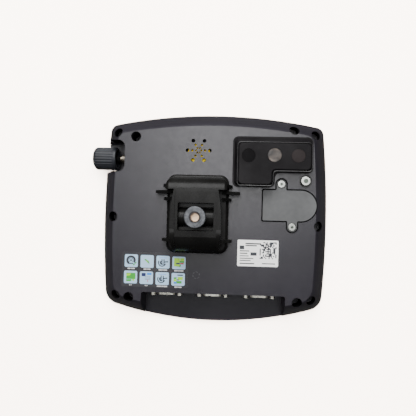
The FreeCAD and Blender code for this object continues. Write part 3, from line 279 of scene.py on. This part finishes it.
def makeKnob():
    # profile along X: a dome (superellipse), a straight grip, a flat rim, a hollow skirt and a blind bore;
    # the grip's radius is less by a narrow cosine wave around the axis, which fades in and out lengthwise
    start, end = low("knob"), high("knob")
    whole = (end[1] - start[1]) / 2
    look = {key: value * mm for key, value in knobLook.items()}
    rise = np.sin(np.linspace(0, math.pi / 2, knobLook["domeRings"]))
    power = knobLook["domePower"]
    domeAlong = start[0] + look["domeDepth"] * (1 - (1 - rise ** power) ** (1 / power))
    straight = np.linspace(start[0] + look["domeDepth"] * knobLook["gripFrom"], end[0] - look["edge"],
                           knobLook["gripRings"])
    inner, stop = end[0] - look["skirtDepth"], start[0] + look["boreStop"]
    along = np.concatenate([domeAlong, straight,
                            [end[0] - look["edgeStep"], end[0], end[0], inner, inner, stop, stop]])
    body = np.concatenate([whole * rise, np.full(knobLook["gripRings"], whole),
                           [whole - look["edgeStep"], whole - look["edge"], whole - look["skirtWall"],
                            whole - look["skirtWall"], look["stemRadius"], look["stemRadius"], 0]])
    turns = np.linspace(0, 2 * math.pi, knobLook["ribs"] * knobLook["pointsPerRib"], endpoint=False)
    wave = (0.5 + 0.5 * np.cos(knobLook["ribs"] * turns)) ** knobLook["grooveSharpness"]
    fadeIn = np.clip((body / whole - knobLook["fadeFrom"]) / knobLook["fadeOver"], 0, 1)
    fadeOut = np.clip((end[0] - look["collar"] - along) / look["fade"], 0, 1)
    radius = body[:, None] - look["grooveDepth"] * (fadeIn * fadeOut)[:, None] * wave[None, :]
    points, faces = spun(along, radius, turns)
    grip = meshObject("knobGrip", points + (0, middle("knob")[1], middle("knob")[2]), faces, "knob",
                      finishes["knob"])
    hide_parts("knob")


# thread in the bush of the arm socket
threadLook = {"root": 4.22, "crest": 3.4, "pitch": 1.27, "flank": 0.60, "tip": 0.10, "endGap": 0.66,
              "stepsPerTurn": 48}


def makeThread():
    # ridge with a four-cornered section that climbs about the bush's axis; its height is pitch * turn
    base, top = low("thread_insert")[2], high("thread_insert")[2]
    x, y, _ = middle("thread_insert")
    pitch = threadLook["pitch"] * mm
    height = top - base - 2 * threadLook["endGap"] * mm
    turn = np.linspace(0, 2 * math.pi * height / pitch, int(threadLook["stepsPerTurn"] * height / pitch))
    root, crest, flank, tip = (threadLook[key] for key in ("root", "crest", "flank", "tip"))
    section = np.array([(root, -flank), (crest, -tip), (crest, tip), (root, flank)]) * mm
    level = base + threadLook["endGap"] * mm + pitch * turn / (2 * math.pi)
    points = np.stack([x + np.outer(np.cos(turn), section[:, 0]), y + np.outer(np.sin(turn), section[:, 0]),
                       level[:, None] + section[None, :, 1]], axis=-1).reshape(-1, 3)
    ends = [[0, 1, 2, 3], [len(points) - k for k in (1, 2, 3, 4)]]
    faces = gridFaces(len(turn), 4, closeColumns=True) + ends
    meshObject("armThread", points, faces, "arm_hub", finishes["brass"])


# printed film with eight picture tiles
inks = {
    "tile": finish("tilePrint", (0.34, 0.50, 0.66), rough=(0.3, 0.4), grainSize=0.6, grainDepth=0.003,
                   wear=0.12),
    "grey": finish("greyPrint", (0.009, 0.011, 0.016), rough=(0.35, 0.45), grainSize=0.6, grainDepth=0.002),
    "green": finish("greenPrint", (0.025, 0.25, 0.02), rough=(0.35, 0.45), grainSize=0.6, grainDepth=0.002),
    "lime": finish("limePrint", (0.27, 0.52, 0.012), rough=(0.35, 0.45), grainSize=0.6, grainDepth=0.002),
    "navy": finish("navyPrint", (0.004, 0.010, 0.060), rough=(0.35, 0.45), grainSize=0.6, grainDepth=0.002),
    "blue": finish("bluePrint", (0.02, 0.17, 0.52), rough=(0.35, 0.45), grainSize=0.6, grainDepth=0.002),
    "red": finish("redPrint", (0.42, 0.03, 0.02), rough=(0.35, 0.45), grainSize=0.6, grainDepth=0.002),
    "film": finish("markGrey", (0.05, 0.048, 0.055), rough=(0.35, 0.45), grainSize=0.6, grainDepth=0.002),
    "white": finish("whitePrint", (0.50, 0.50, 0.50), rough=(0.35, 0.45), grainSize=0.6, grainDepth=0.002,
                    wear=0.05),
}
tileLook = {"wide": 12.2, "high": 11.6, "corner": 1.3, "pitchX": 14.75, "pitchY": 15.1, "left": 2.7,
            "top": 2.2, "slip": 0.35, "columnDrop": 0.28, "captionHigh": 1.15, "captionDrop": 1.35,
            "captions": [[7.0, 6.6, 8.2, 8.8], [2.4, 2.6, 9.8, 6.8]], "wordShares": (0.42, 0.2, 0.38),
            "wordGap": 0.3, "wordCorner": 0.25, "print": 0.03,
            "layers": {"tile": 1, "white": 1, "grey": 2, "green": 3, "lime": 4}, "otherLayers": 5}
pictures = [     # tiles, ink and outline in millimetres about the tile's middle
    ([0], "grey", arcBand(-0.3, 0.4, 3.5, 1.9, -35, 235)),
    ([0], "grey", arcBand(-0.3, 0.4, 2.0, 0.5, -60, 250)),
    ([0], "grey", disc(-0.3, 0.4, 0.9)),
    ([0], "grey", [(-3.6, -3.0), (2.4, -3.0), (1.7, -2.1), (-2.9, -2.1)]),
    ([0], "green", [(1.4, -3.0), (2.3, -4.6), (5.0, -1.5), (4.3, -0.9), (2.4, -3.2), (2.0, -2.4)]),
    ([1], "green", [(-2.7, 1.9), (-1.4, 2.3), (0.5, 0.7), (1.1, 0.9), (2.4, -2.3), (0.7, -1.4), (-0.3, -0.4),
                    (-1.9, 1.0)]),
    ([1], "lime", [(-1.2, 0.9), (-0.4, 1.0), (0.7, -0.6), (0.2, -0.8)]),
    ([2, 6], "grey", arcBand(-0.9, -0.4, 3.3, 0.95, 150, 345)),
    ([2, 6], "grey", arcBand(-0.9, -0.4, 1.5, 1.2, 120, 300)),
    ([2, 6], "grey", [(-1.5, 2.8), (-0.5, 2.8), (-0.5, -2.2), (-1.5, -2.2)]),
    ([2, 6], "grey", [(0.4, 2.7), (1.4, 2.7), (1.4, -2.6), (0.4, -2.6)]),
    ([2, 6], "grey", [(1.3, 0.7), (3.9, 1.0), (3.9, 0.0), (1.3, -0.4)]),
    ([2, 6], "grey", [(3.9, 1.3), (5.0, 0.4), (3.9, -0.4)]),
    ([2, 6], "blue", roundRect(0, 4.0, 7.4, 0.35, 0.1)),
    ([3], "lime", roundRect(-1.9, 0.6, 5.2, 7.6, 0.3)),
    ([3], "lime", roundRect(3.0, 3.1, 3.8, 2.6, 0.3)),
    ([3], "green", roundRect(2.6, 1.1, 4.4, 1.8, 0.2)),
    ([3], "green", [(-2.4, -1.6), (1.9, -1.3), (1.6, -3.6), (-2.0, -3.4)]),
    ([3], "navy", roundRect(-0.9, -0.6, 3.4, 1.3, 0.2)),
    ([3], "red", roundRect(2.7, -0.5, 3.4, 1.1, 0.2)),
    ([4], "green", roundRect(0.3, 1.0, 8.6, 5.6, 0.3)),
    ([4], "green", [(-4.2, -2.2), (0.9, -2.0), (0.6, -3.8), (-4.0, -3.9)]),
    ([4], "lime", [(-3.9, 3.2), (0.4, 3.4), (-0.6, 1.4), (-3.8, 1.0)]),
    ([4], "lime", roundRect(2.6, -2.6, 2.0, 1.4, 0.2)),
    ([5], "navy", roundRect(-2.6, 2.9, 3.8, 2.9, 0.25)),
    ([5], "blue", roundRect(2.7, 3.7, 4.2, 2.0, 0.3)),
    ([5], "grey", roundRect(1.2, 0.9, 5.4, 0.3, 0.1)),
    ([5], "grey", roundRect(1.2, -0.3, 5.4, 0.3, 0.1)),
    ([5], "grey", roundRect(1.2, -1.5, 5.4, 0.3, 0.1)),
    ([5], "red", roundRect(1.2, -2.7, 0.5, 2.2, 0.1)),
    ([7], "lime", [(-0.6, 2.2), (4.4, 2.4), (4.2, -0.4), (-0.4, -0.6)]),
    ([7], "lime", roundRect(-2.8, -0.8, 2.8, 2.0, 0.2)),
    ([7], "green", roundRect(0.6, -2.6, 5.4, 2.2, 0.3)),
    ([7], "green", [(-4.1, 1.7), (-1.4, 2.0), (-1.6, 0.4), (-4.1, 0.4)]),
    ([7], "blue", roundRect(-2.7, -3.2, 2.6, 1.6, 0.25)),
    ([7], "grey", roundRect(1.7, 3.9, 5.2, 0.9, 0.2)),
    ([7], "navy", roundRect(-0.3, -0.4, 2.2, 0.9, 0.2)),
]


def makeTiles():
    # every ink is one piece of flat shapes; inks that cross lie on levels of their own
    corner, ceiling = low("icon_label"), high("icon_label")[2]
    shapes = {name: [] for name in inks if name != "film"}
    middles = []
    for row, captions in enumerate(tileLook["captions"]):
        for column, caption in enumerate(captions):
            x = corner[0] + (tileLook["left"] + tileLook["wide"] / 2 + column * tileLook["pitchX"]
                             - row * tileLook["slip"]) * mm
            y = high("icon_label")[1] - (tileLook["top"] + tileLook["high"] / 2 + row * tileLook["pitchY"]
                                         + column * tileLook["columnDrop"]) * mm
            middles.append((x, y))
            shapes["tile"].append(roundRect(x, y, tileLook["wide"] * mm, tileLook["high"] * mm,
                                            tileLook["corner"] * mm))
            drop = (tileLook["high"] / 2 + tileLook["captionDrop"]) * mm
            at = x - caption / 2 * mm
            for share in tileLook["wordShares"]:
                length = caption * mm * share
                shapes["white"].append(roundRect(at + length / 2, y - drop, length - tileLook["wordGap"] * mm,
                                                 tileLook["captionHigh"] * mm, tileLook["wordCorner"] * mm))
                at += length
    for tiles, ink, outline in pictures:
        shapes[ink] += [np.array(outline) * mm + middles[tile] for tile in tiles]
    for name, outlines in shapes.items():
        layer = tileLook["print"] * mm * tileLook["layers"].get(name, tileLook["otherLayers"])
        slabs(name + "Print", outlines, ceiling, ceiling + layer, "housing", inks[name])


# paper label: plain bars and a plain pattern of dots
paperLook = {"print": 0.03, "cells": 15, "cell": 1.02, "filled": 0.56, "seed": 7, "margin": 1.6,
             "barCorner": 0.2, "bars": [(0.4, 3.6, 4.2, 3.4), (5.6, 1.1, 13.0, 1.2), (5.6, 3.0, 10.5, 1.0),
                                        (0.6, 8.0, 8.6, 0.9), (0.6, 10.2, 7.0, 0.9), (10.4, 9.6, 5.6, 3.0),
                                        (0.6, 12.6, 8.2, 0.8), (0.6, 14.8, 12.4, 0.8), (0.6, 16.8, 10.2, 0.8),
                                        (0.6, 19.4, 13.4, 1.0), (21.0, 19.2, 12.0, 0.9)]}


def makePaperPrint():
    # the pattern is a square of cells, about half of them filled at random from a fixed seed; a bar is its
    # place from the label's upper left corner, its width and its height
    (left, bottom, _), (right, top, ceiling) = low("type_label"), high("type_label")
    cell, margin = paperLook["cell"] * mm, paperLook["margin"] * mm
    filled = np.random.default_rng(paperLook["seed"]).random((paperLook["cells"],) * 2) < paperLook["filled"]
    rows, columns = np.nonzero(filled)
    x0, y0 = right - margin - paperLook["cells"] * cell, top - margin
    square = np.array([(-0.5, -0.5), (0.5, -0.5), (0.5, 0.5), (-0.5, 0.5)]) * cell
    outlines = [square + (x0 + (c + 0.5) * cell, y0 - (r + 0.5) * cell) for r, c in zip(rows, columns)]
    words = [roundRect(left + margin + (x + wide / 2) * mm, top - margin - (y + tall / 2) * mm,
                       wide * mm, tall * mm, paperLook["barCorner"] * mm)
             for x, y, wide, tall in paperLook["bars"]]
    slabs("labelPrint", outlines + words, ceiling, ceiling + paperLook["print"] * mm, "housing", inks["grey"])


# black strip in the groove round the service door: painted shade in the gap
doorShadeLook = {"inner": 0.08, "outer": 1.10, "bottom": -2.0, "top": -0.9}
# matte black for the sheets that paint shade (door groove, wells, bay wall), also used for the speaker felt
# and the stem sleeve
feltAndShadeBlack = finish("feltAndShadeBlack", (0.003, 0.003, 0.0032), rough=(0.85, 0.95), specular=0.05, grainSize=0.4,
                   grainDepth=0.05)


# edges of nodes, and beads carried along an edge
beadRules = {"shortest": 0.02, "leastCosine": 0.4}


def joinedTriangles(node):
    # a node's different vertices and its triangles as their numbers
    mesh = nodes[node].data
    spots, corners = np.empty(len(mesh.vertices) * 3), np.empty(len(mesh.loops), int)
    mesh.vertices.foreach_get("co", spots)
    mesh.loops.foreach_get("vertex_index", corners)
    spots, same = np.unique(np.round(spots.reshape(-1, 3), 6), axis=0, return_inverse=True)
    return spots, same.reshape(-1)[corners].reshape(-1, 3)


def solidBoxes(node):
    # boxes of a node's separate solids: the smallest vertex number spreads over each of them
    spots, triangles = joinedTriangles(node)
    label, before = np.arange(len(spots)), None
    while before is None or (label != before).any():
        before = label.copy()
        np.minimum.at(label, triangles.ravel(), np.repeat(label[triangles].min(axis=1), 3))
        label = label[label]
    return [(spots[label == k].min(axis=0), spots[label == k].max(axis=0)) for k in np.unique(label)]


def topEdge(node):
    # longest closed edge of a node's top face, in order, found from its loose triangles
    spots, triangles = joinedTriangles(node)
    level = high(node)[2] - beadRules["shortest"] * mm
    triangles = triangles[(spots[triangles][:, :, 2] > level).all(axis=1)]
    sides = {(a, b) for t in triangles.tolist() for a, b in zip(t, t[1:] + t[:1])}
    following = {a: b for a, b in sides if (b, a) not in sides}
    longest = []
    while following:
        line = [next(iter(following))]
        while line[-1] in following:
            line.append(following.pop(line[-1]))
        longest = max(longest, line[:-1], key=len)
    return spots[longest][:, :2]


def roundedPath(corners, radius, steps=7):
    # closed path with square corners, each turned into a quarter circle: the circle's middle is the corner
    # moved by the radius along both sides, and the arc runs from one side to the other
    corners = np.array(corners)
    back, ahead = np.roll(corners, 1, axis=0) - corners, np.roll(corners, -1, axis=0) - corners
    back /= np.linalg.norm(back, axis=1)[:, None]
    ahead /= np.linalg.norm(ahead, axis=1)[:, None]
    turn = np.linspace(0, math.pi / 2, steps)[None, :, None]
    middles = (corners + (back + ahead) * radius)[:, None, :]
    arcs = middles - radius * (ahead[:, None, :] * np.cos(turn) + back[:, None, :] * np.sin(turn))
    return arcs.reshape(-1, 2)


def beadAlong(name, edge, level, inner, outer, bottom, top, material, lean=0.0):
    # four-cornered section carried along a closed edge, pushed out square to it; the section reaches from
    # inner to outer sideways and from bottom to top, in millimetres from that edge and level, and its top
    # leans down outwards
    edge = edge[np.linalg.norm(np.roll(edge, -1, axis=0) - edge, axis=1) > beadRules["shortest"] * mm]
    ahead = np.roll(edge, -1, axis=0) - edge
    ahead /= np.linalg.norm(ahead, axis=1)[:, None]
    side = np.column_stack([ahead[:, 1], -ahead[:, 0]])
    miter = side + np.roll(side, 1, axis=0)
    miter /= np.maximum((miter * side).sum(axis=1), beadRules["leastCosine"])[:, None]
    corners = [(inner, bottom), (outer, bottom), (outer, top - lean), (inner, top)]
    points = np.stack([np.column_stack([edge + miter * out * mm, np.full(len(edge), level + up * mm)])
                       for out, up in corners], axis=1)
    return meshObject(name, points.reshape(-1, 3), gridFaces(len(edge), 4, True, True), "housing", material)


# polished bead round the flat of the radio cover, dark disc in its left seat
beadLook = {"inner": -0.30, "outer": 0.45, "bottom": -0.9, "top": 0.04, "lean": 0.34, "corner": 3.0,
            "left": 4.2, "right": 2.4, "lower": 0.9, "upper": 6.4, "notchLeft": 38.6, "notchHigh": 13.4}
beadGloss = finish("beadGloss", (0.0070, 0.0063, 0.0068), specular=0.42, rough=(0.26, 0.36), grainSize=0.6,
                   grainDepth=0.004)
discBlack = finish("discBlack", (0.0040, 0.0036, 0.0040), specular=0.03, rough=(0.5, 0.6), grainSize=0.5,
                   grainDepth=0.01)
discLook = {"middle": (14.0, 18.6), "radius": 6.15, "sunk": 0.3, "thick": 0.5}


def makeCoverBead():
    # the flat is an L: the cover's box less its leaning sides and the notch at its lower right
    (x0, y0, _), (x1, y1, level) = low("radio_cover"), high("radio_cover")
    left, right = x0 + beadLook["left"] * mm, x1 - beadLook["right"] * mm
    bottom, top = y0 + beadLook["lower"] * mm, y1 - beadLook["upper"] * mm
    notchX = x0 + (beadLook["notchLeft"] - beadLook["right"]) * mm
    notchY = y0 + (beadLook["notchHigh"] + beadLook["lower"]) * mm
    edge = roundedPath([(left, bottom), (notchX, bottom), (notchX, notchY), (right, notchY), (right, top),
                        (left, top)], beadLook["corner"] * mm)
    beadAlong("coverBead", edge, level, beadLook["inner"], beadLook["outer"], beadLook["bottom"],
              beadLook["top"], beadGloss, beadLook["lean"])


def makeDarkDisc():
    # flat disc; its place is counted in millimetres from the cover's left and upper sides
    x = low("radio_cover")[0] + discLook["middle"][0] * mm
    y = high("radio_cover")[1] - discLook["middle"][1] * mm
    top = high("radio_cover")[2] - discLook["sunk"] * mm
    slabs("coverDisc", [disc(x, y, discLook["radius"] * mm)], top - discLook["thick"] * mm, top, "housing",
          discBlack)


# small moulded ring of dashes beside the picture tiles
markLook = {"radius": 3.0, "width": 0.35, "dashes": 6, "dashDegrees": 34, "dashSteps": 6,
            "fromFilm": (7.7, -3.6), "height": 0.1}


def makeMouldMark():
    x = high("icon_label")[0] + markLook["fromFilm"][0] * mm
    y = middle("icon_label")[1] + markLook["fromFilm"][1] * mm
    starts = np.linspace(0, 360, markLook["dashes"], endpoint=False)
    dashes = [arcBand(x, y, markLook["radius"] * mm, markLook["width"] * mm, start,
                      start + markLook["dashDegrees"], markLook["dashSteps"]) for start in starts]
    ceiling = low("icon_label")[2]
    slabs("mouldMark", dashes, ceiling, ceiling + markLook["height"] * mm, "housing", inks["film"])


# signs on the front keys: a ring, a bar, an arrow head and a dot
signLook = {"height": 0.12, "sunk": 0.3,
            "shapes": [[arcBand(0, 0, 2.2, 0.7, 0, 180), arcBand(0, 0, 2.2, 0.7, 180, 360)],
                       [roundRect(0, 0, 6.0, 0.9, 0.3)],
                       [[(-2.2, -1.6), (2.2, 0), (-2.2, 1.6), (-1.1, 0)]],
                       [disc(0, 0, 1.5)]]}


def makeKeySigns():
    for number, outlines in enumerate(signLook["shapes"], 1):
        key = "front_key_%d" % number
        face = low(key)[2]
        sign = [np.array(outline) * mm + middle(key)[:2] for outline in outlines]
        slabs("keySign%d" % number, sign, face - signLook["height"] * mm, face + signLook["sunk"] * mm,
              "key_%d" % number, inks["white"])


# dark floors of the screw sockets; dark tubes in the wells over the housing screws, painted shade on the
# wells' walls
socketLook = {"across": 0.42, "thick": 0.06, "depth": 0.35}
socketShade = finish("socketShade", (0.05, 0.06, 0.05), metal=0.8, rough=(0.3, 0.4), grainSize=0.5,
                     grainDepth=0.004)
wellShadeLook = {"radius": 4.68, "wall": 0.12, "below": 0.25, "beside": 0.55, "turns": 32, "above": 100,
            "overHead": 0.1, "least": 0.3}


def makeSockets():
    # a disc on each screw head, its radius a share of the head's
    for node in ("door_screws", "earth_screw"):
        rounds = []
        for box in solidBoxes(node):
            (x, y, _), top = (box[0] + box[1]) / 2, box[1][2]
            rounds.append(disc(x, y, (box[1][0] - box[0][0]) / 2 * socketLook["across"]))
        level = top - socketLook["depth"] * mm
        slabs(node + "Socket", rounds, level, level + socketLook["thick"] * mm, "housing", socketShade)


def makeWellShades():
    # thin black tubes over the screw heads, painted shade on the walls of the wells; each tube's upper edge
    # follows the cover round the well, found by looking down on the cover at points just outside the well
    cover = BVHTree.FromPolygons(*[part.tolist() for part in joinedTriangles("back_cover")])
    turn = np.linspace(0, 2 * math.pi, wellShadeLook["turns"], endpoint=False)
    ring = np.column_stack([np.cos(turn), np.sin(turn)])
    outer, inner = wellShadeLook["radius"] * mm, (wellShadeLook["radius"] - wellShadeLook["wall"]) * mm
    points, faces = [], []
    for bottom, top in solidBoxes("housing_screws"):
        base = top[2] + wellShadeLook["overHead"] * mm
        least = base + wellShadeLook["least"] * mm
        spots = (bottom + top)[:2] / 2 + ring * (outer + wellShadeLook["beside"] * mm)
        hits = [cover.ray_cast((x, y, wellShadeLook["above"] * mm), (0, 0, -1))[0] for x, y in spots]
        edge = np.array([max(hit.z - wellShadeLook["below"] * mm, least) if hit else least for hit in hits])
        start = len(points) * 4 * len(turn)
        corners = [(outer, np.full(len(turn), base)), (outer, edge), (inner, edge),
                   (inner, np.full(len(turn), base))]
        points.append(np.stack([np.column_stack([(bottom + top)[:2] / 2 + ring * radius, level])
                                for radius, level in corners], axis=1).reshape(-1, 3))
        faces += gridFaces(len(turn), 4, True, True, start)
    meshObject("wellShadeTubes", np.concatenate(points), faces, "housing", feltAndShadeBlack)


# black felt with a round opening between the speaker and its holes
feltLook = {"opening": 10.2, "outer": 13.4, "lower": 1.2, "thick": 0.15, "under": 2.75}


def makeFelt():
    # two half rings in one piece
    x, y, _ = middle("speaker_cone")
    level = low("icon_label")[2] - feltLook["under"] * mm
    halves = [arcBand(x, y - feltLook["lower"] * mm, (feltLook["opening"] + feltLook["outer"]) / 2 * mm,
                      (feltLook["outer"] - feltLook["opening"]) * mm, a, a + 180) for a in (0, 180)]
    slabs("speakerFelt", halves, level, level + feltLook["thick"] * mm, "housing", feltAndShadeBlack)


# dark sleeve on the knob's stem, brass floor in the bore of the arm's bush
sleeveLook = {"inside": 3.0, "outside": 3.2, "over": 0.12, "turns": 32}
boreLook = {"radius": 3.5, "deep": 4.2, "thick": 0.3}
boreBrass = finish("boreBrass", (0.62, 0.455, 0.31), metal=1.0, rough=(0.5, 0.62), grainSize=0.5,
                   grainDepth=0.02, cloudSize=2.5)


def makeSleeve():
    # closed cylinder about X, its profile (distance along, radius) spun about the stem's axis
    end = high("knob")[0]
    radius = (high("knob_stem")[2] - low("knob_stem")[2]) / 2 + sleeveLook["over"] * mm
    start, stop = end - sleeveLook["inside"] * mm, end + sleeveLook["outside"] * mm
    turns = np.linspace(0, 2 * math.pi, sleeveLook["turns"], endpoint=False)
    radii = np.outer([0, radius, radius, 0], np.ones(len(turns)))
    points, faces = spun(np.array([start, start, stop, stop]), radii, turns)
    meshObject("stemSleeve", points + (0, middle("knob")[1], middle("knob")[2]), faces, "knob", feltAndShadeBlack)


# black sheet inside the wall of the knob's bay: painted shade on that wall
bayShadeLook = {"spread": 112, "steps": 57, "levels": (30, 33, 36, 39, 40.5), "bottom": 22, "under": 0.5,
              "gap": 0.08, "thick": 0.15, "beyondKnob": 2.5}


def makeBayShade():
    # upright black sheet just inside the bay's wall, painted shade on it: at each angle about the stem's axis
    # its distance is the shortest way to the wall over a few levels, so that the hole for the bush doesn't
    # count
    cover = BVHTree.FromPolygons(*[part.tolist() for part in joinedTriangles("back_cover")])
    x, y = high("knob")[0] + bayShadeLook["beyondKnob"] * mm, middle("knob")[1]
    turn = np.radians(np.linspace(-bayShadeLook["spread"], bayShadeLook["spread"], bayShadeLook["steps"]))
    ways = np.column_stack([np.cos(turn), np.sin(turn)])
    hits = [[cover.ray_cast((x, y, level * mm), (along, up, 0))[3] for level in bayShadeLook["levels"]]
            for along, up in ways]
    reach = np.array([min(way for way in row if way) for row in hits])[:, None]
    outer = (x, y) + ways * (reach - bayShadeLook["gap"] * mm)
    inner = (x, y) + ways * (reach - (bayShadeLook["gap"] + bayShadeLook["thick"]) * mm)
    slabs("bayShadeSheet", [np.concatenate([outer, inner[::-1]])], bayShadeLook["bottom"] * mm,
          low("icon_label")[2] - bayShadeLook["under"] * mm, "housing", feltAndShadeBlack)


def makeBoreFloor():
    x, y, _ = middle("thread_insert")
    level = high("thread_insert")[2] - boreLook["deep"] * mm
    slabs("boreFloor", [disc(x, y, boreLook["radius"] * mm)], level - boreLook["thick"] * mm, level,
          "arm_hub", boreBrass)


makeKnob()
makeThread()
print("knob and thread made")
makeTiles()
makePaperPrint()
print("labels printed")
# black strip in the service door's groove: painted shade
beadAlong("doorGrooveShade", topEdge("service_door"), high("service_door")[2], doorShadeLook["inner"], doorShadeLook["outer"],
          doorShadeLook["bottom"], doorShadeLook["top"], feltAndShadeBlack)
makeCoverBead()
makeDarkDisc()
makeMouldMark()
makeKeySigns()
makeSockets()
makeWellShades()
makeFelt()
makeSleeve()
makeBoreFloor()
makeBayShade()
# the door's groove strip, the well tubes and the bay's sheet made here are painted shade
print("seals, signs and linings made")


# floor, light and camera
stageLook = {"floorRadius": 2.2, "bendRadius": 1.0, "wallHeight": 3.0, "floorColour": (0.88, 0.76, 0.66),
             "skyAbove": (0.17, 0.172, 0.18), "skyBelow": (0.13, 0.125, 0.12),
             "keyPlace": (0.0, 0.25, 1.05), "keySize": 0.6, "keyPower": 9.2,
             "windowPlace": (-0.15, 1.5, 1.25), "windowSize": 1.2, "windowPower": 72.0,
             "paperLightPlace": (0.1, 0.3, 2.0), "paperLightSize": 1.6, "paperLightPower": 420.0,
             "skyEdge": (-0.05, 0.25), "bendSteps": 13, "floorTurns": 64, "sensor": 36.0, "lens": 36.52,
             "cameraPlace": (0.01759, 0.00446, 0.4295), "cameraTurn": (0.729, 2.670, 1.410)}


def makeFloor():
    # dish: a flat disc, a quarter round and an upright wall, as a profile (radius, height) spun about Z; it
    # sends no light back to the device, and the sky's lower half stands for its bounce
    reach, bend, wall = stageLook["floorRadius"], stageLook["bendRadius"], stageLook["wallHeight"]
    arc = np.linspace(0, math.pi / 2, stageLook["bendSteps"])
    radius = np.concatenate([[0, reach / 2], reach + bend * np.sin(arc), [reach + bend]])
    height = np.concatenate([[0, 0], bend * (1 - np.cos(arc)), [bend + wall]])
    turn = np.linspace(0, 2 * math.pi, stageLook["floorTurns"], endpoint=False)
    points = np.stack([np.outer(radius, np.cos(turn)), np.outer(radius, np.sin(turn)),
                       np.outer(height, np.ones(len(turn)))], axis=-1).reshape(-1, 3)
    mesh = bpy.data.meshes.new("floor")
    mesh.from_pydata(points.tolist(), [], gridFaces(len(radius), len(turn), closeColumns=True))
    mesh.polygons.foreach_set("use_smooth", np.full(len(mesh.polygons), True))
    floor = bpy.data.objects.new("floor", mesh)
    bpy.context.scene.collection.objects.link(floor)
    paper = finish("floorPaper", stageLook["floorColour"], rough=(0.85, 0.95), grainSize=3, grainDepth=0.01,
                   wear=0.01, cloudSize=300)
    mesh.materials.append(paper)
    floor.visible_diffuse = floor.visible_glossy = floor.visible_shadow = False
    return floor


def makeLight(name, place, power, size, only=None):
    # square soft light that faces the middle of the device; it may light one object only
    lamp = bpy.data.lights.new(name, "AREA")
    lamp.energy, lamp.size = power, size
    piece = bpy.data.objects.new(name, lamp)
    piece.location = place
    away = -np.array(place)
    piece.rotation_euler = (math.atan2(math.hypot(away[0], away[1]), -away[2]), 0,
                            math.atan2(away[1], away[0]) - math.pi / 2)
    bpy.context.scene.collection.objects.link(piece)
    if only:
        lit = bpy.data.collections.new(name + "Receiver")
        lit.objects.link(only)
        piece.light_linking.receiver_collection = lit


def makeSky():
    # sky with one colour above and another below, where it stands for light thrown back by the floor
    sky = bpy.data.worlds.new("sky")
    sky.use_nodes = True
    tree = sky.node_tree
    place = tree.nodes.new("ShaderNodeTexCoord")
    parts = tree.nodes.new("ShaderNodeSeparateXYZ")
    tree.links.new(place.outputs["Generated"], parts.inputs["Vector"])
    share = spread(tree, parts.outputs["Z"], *stageLook["skyEdge"], 0.0, 1.0)
    tree.links.new(blendColours(tree, share, stageLook["skyBelow"], stageLook["skyAbove"]),
                   tree.nodes["Background"].inputs["Color"])
    bpy.context.scene.world = sky


def makeCamera():
    # camera looking down on the device, a little turned
    view = bpy.data.cameras.new("camera")
    view.sensor_width, view.lens = stageLook["sensor"], stageLook["lens"]
    camera = bpy.data.objects.new("camera", view)
    camera.rotation_mode = "ZYX"
    camera.rotation_euler = [math.radians(angle) for angle in stageLook["cameraTurn"]]
    camera.location = stageLook["cameraPlace"]
    bpy.context.scene.collection.objects.link(camera)
    bpy.context.scene.camera = camera


floor = makeFloor()
makeLight("keyLight", stageLook["keyPlace"], stageLook["keyPower"], stageLook["keySize"])
makeLight("windowLight", stageLook["windowPlace"], stageLook["windowPower"], stageLook["windowSize"])
makeLight("paperLight", stageLook["paperLightPlace"], stageLook["paperLightPower"],
          stageLook["paperLightSize"], floor)
makeSky()
makeCamera()
print("stage set")
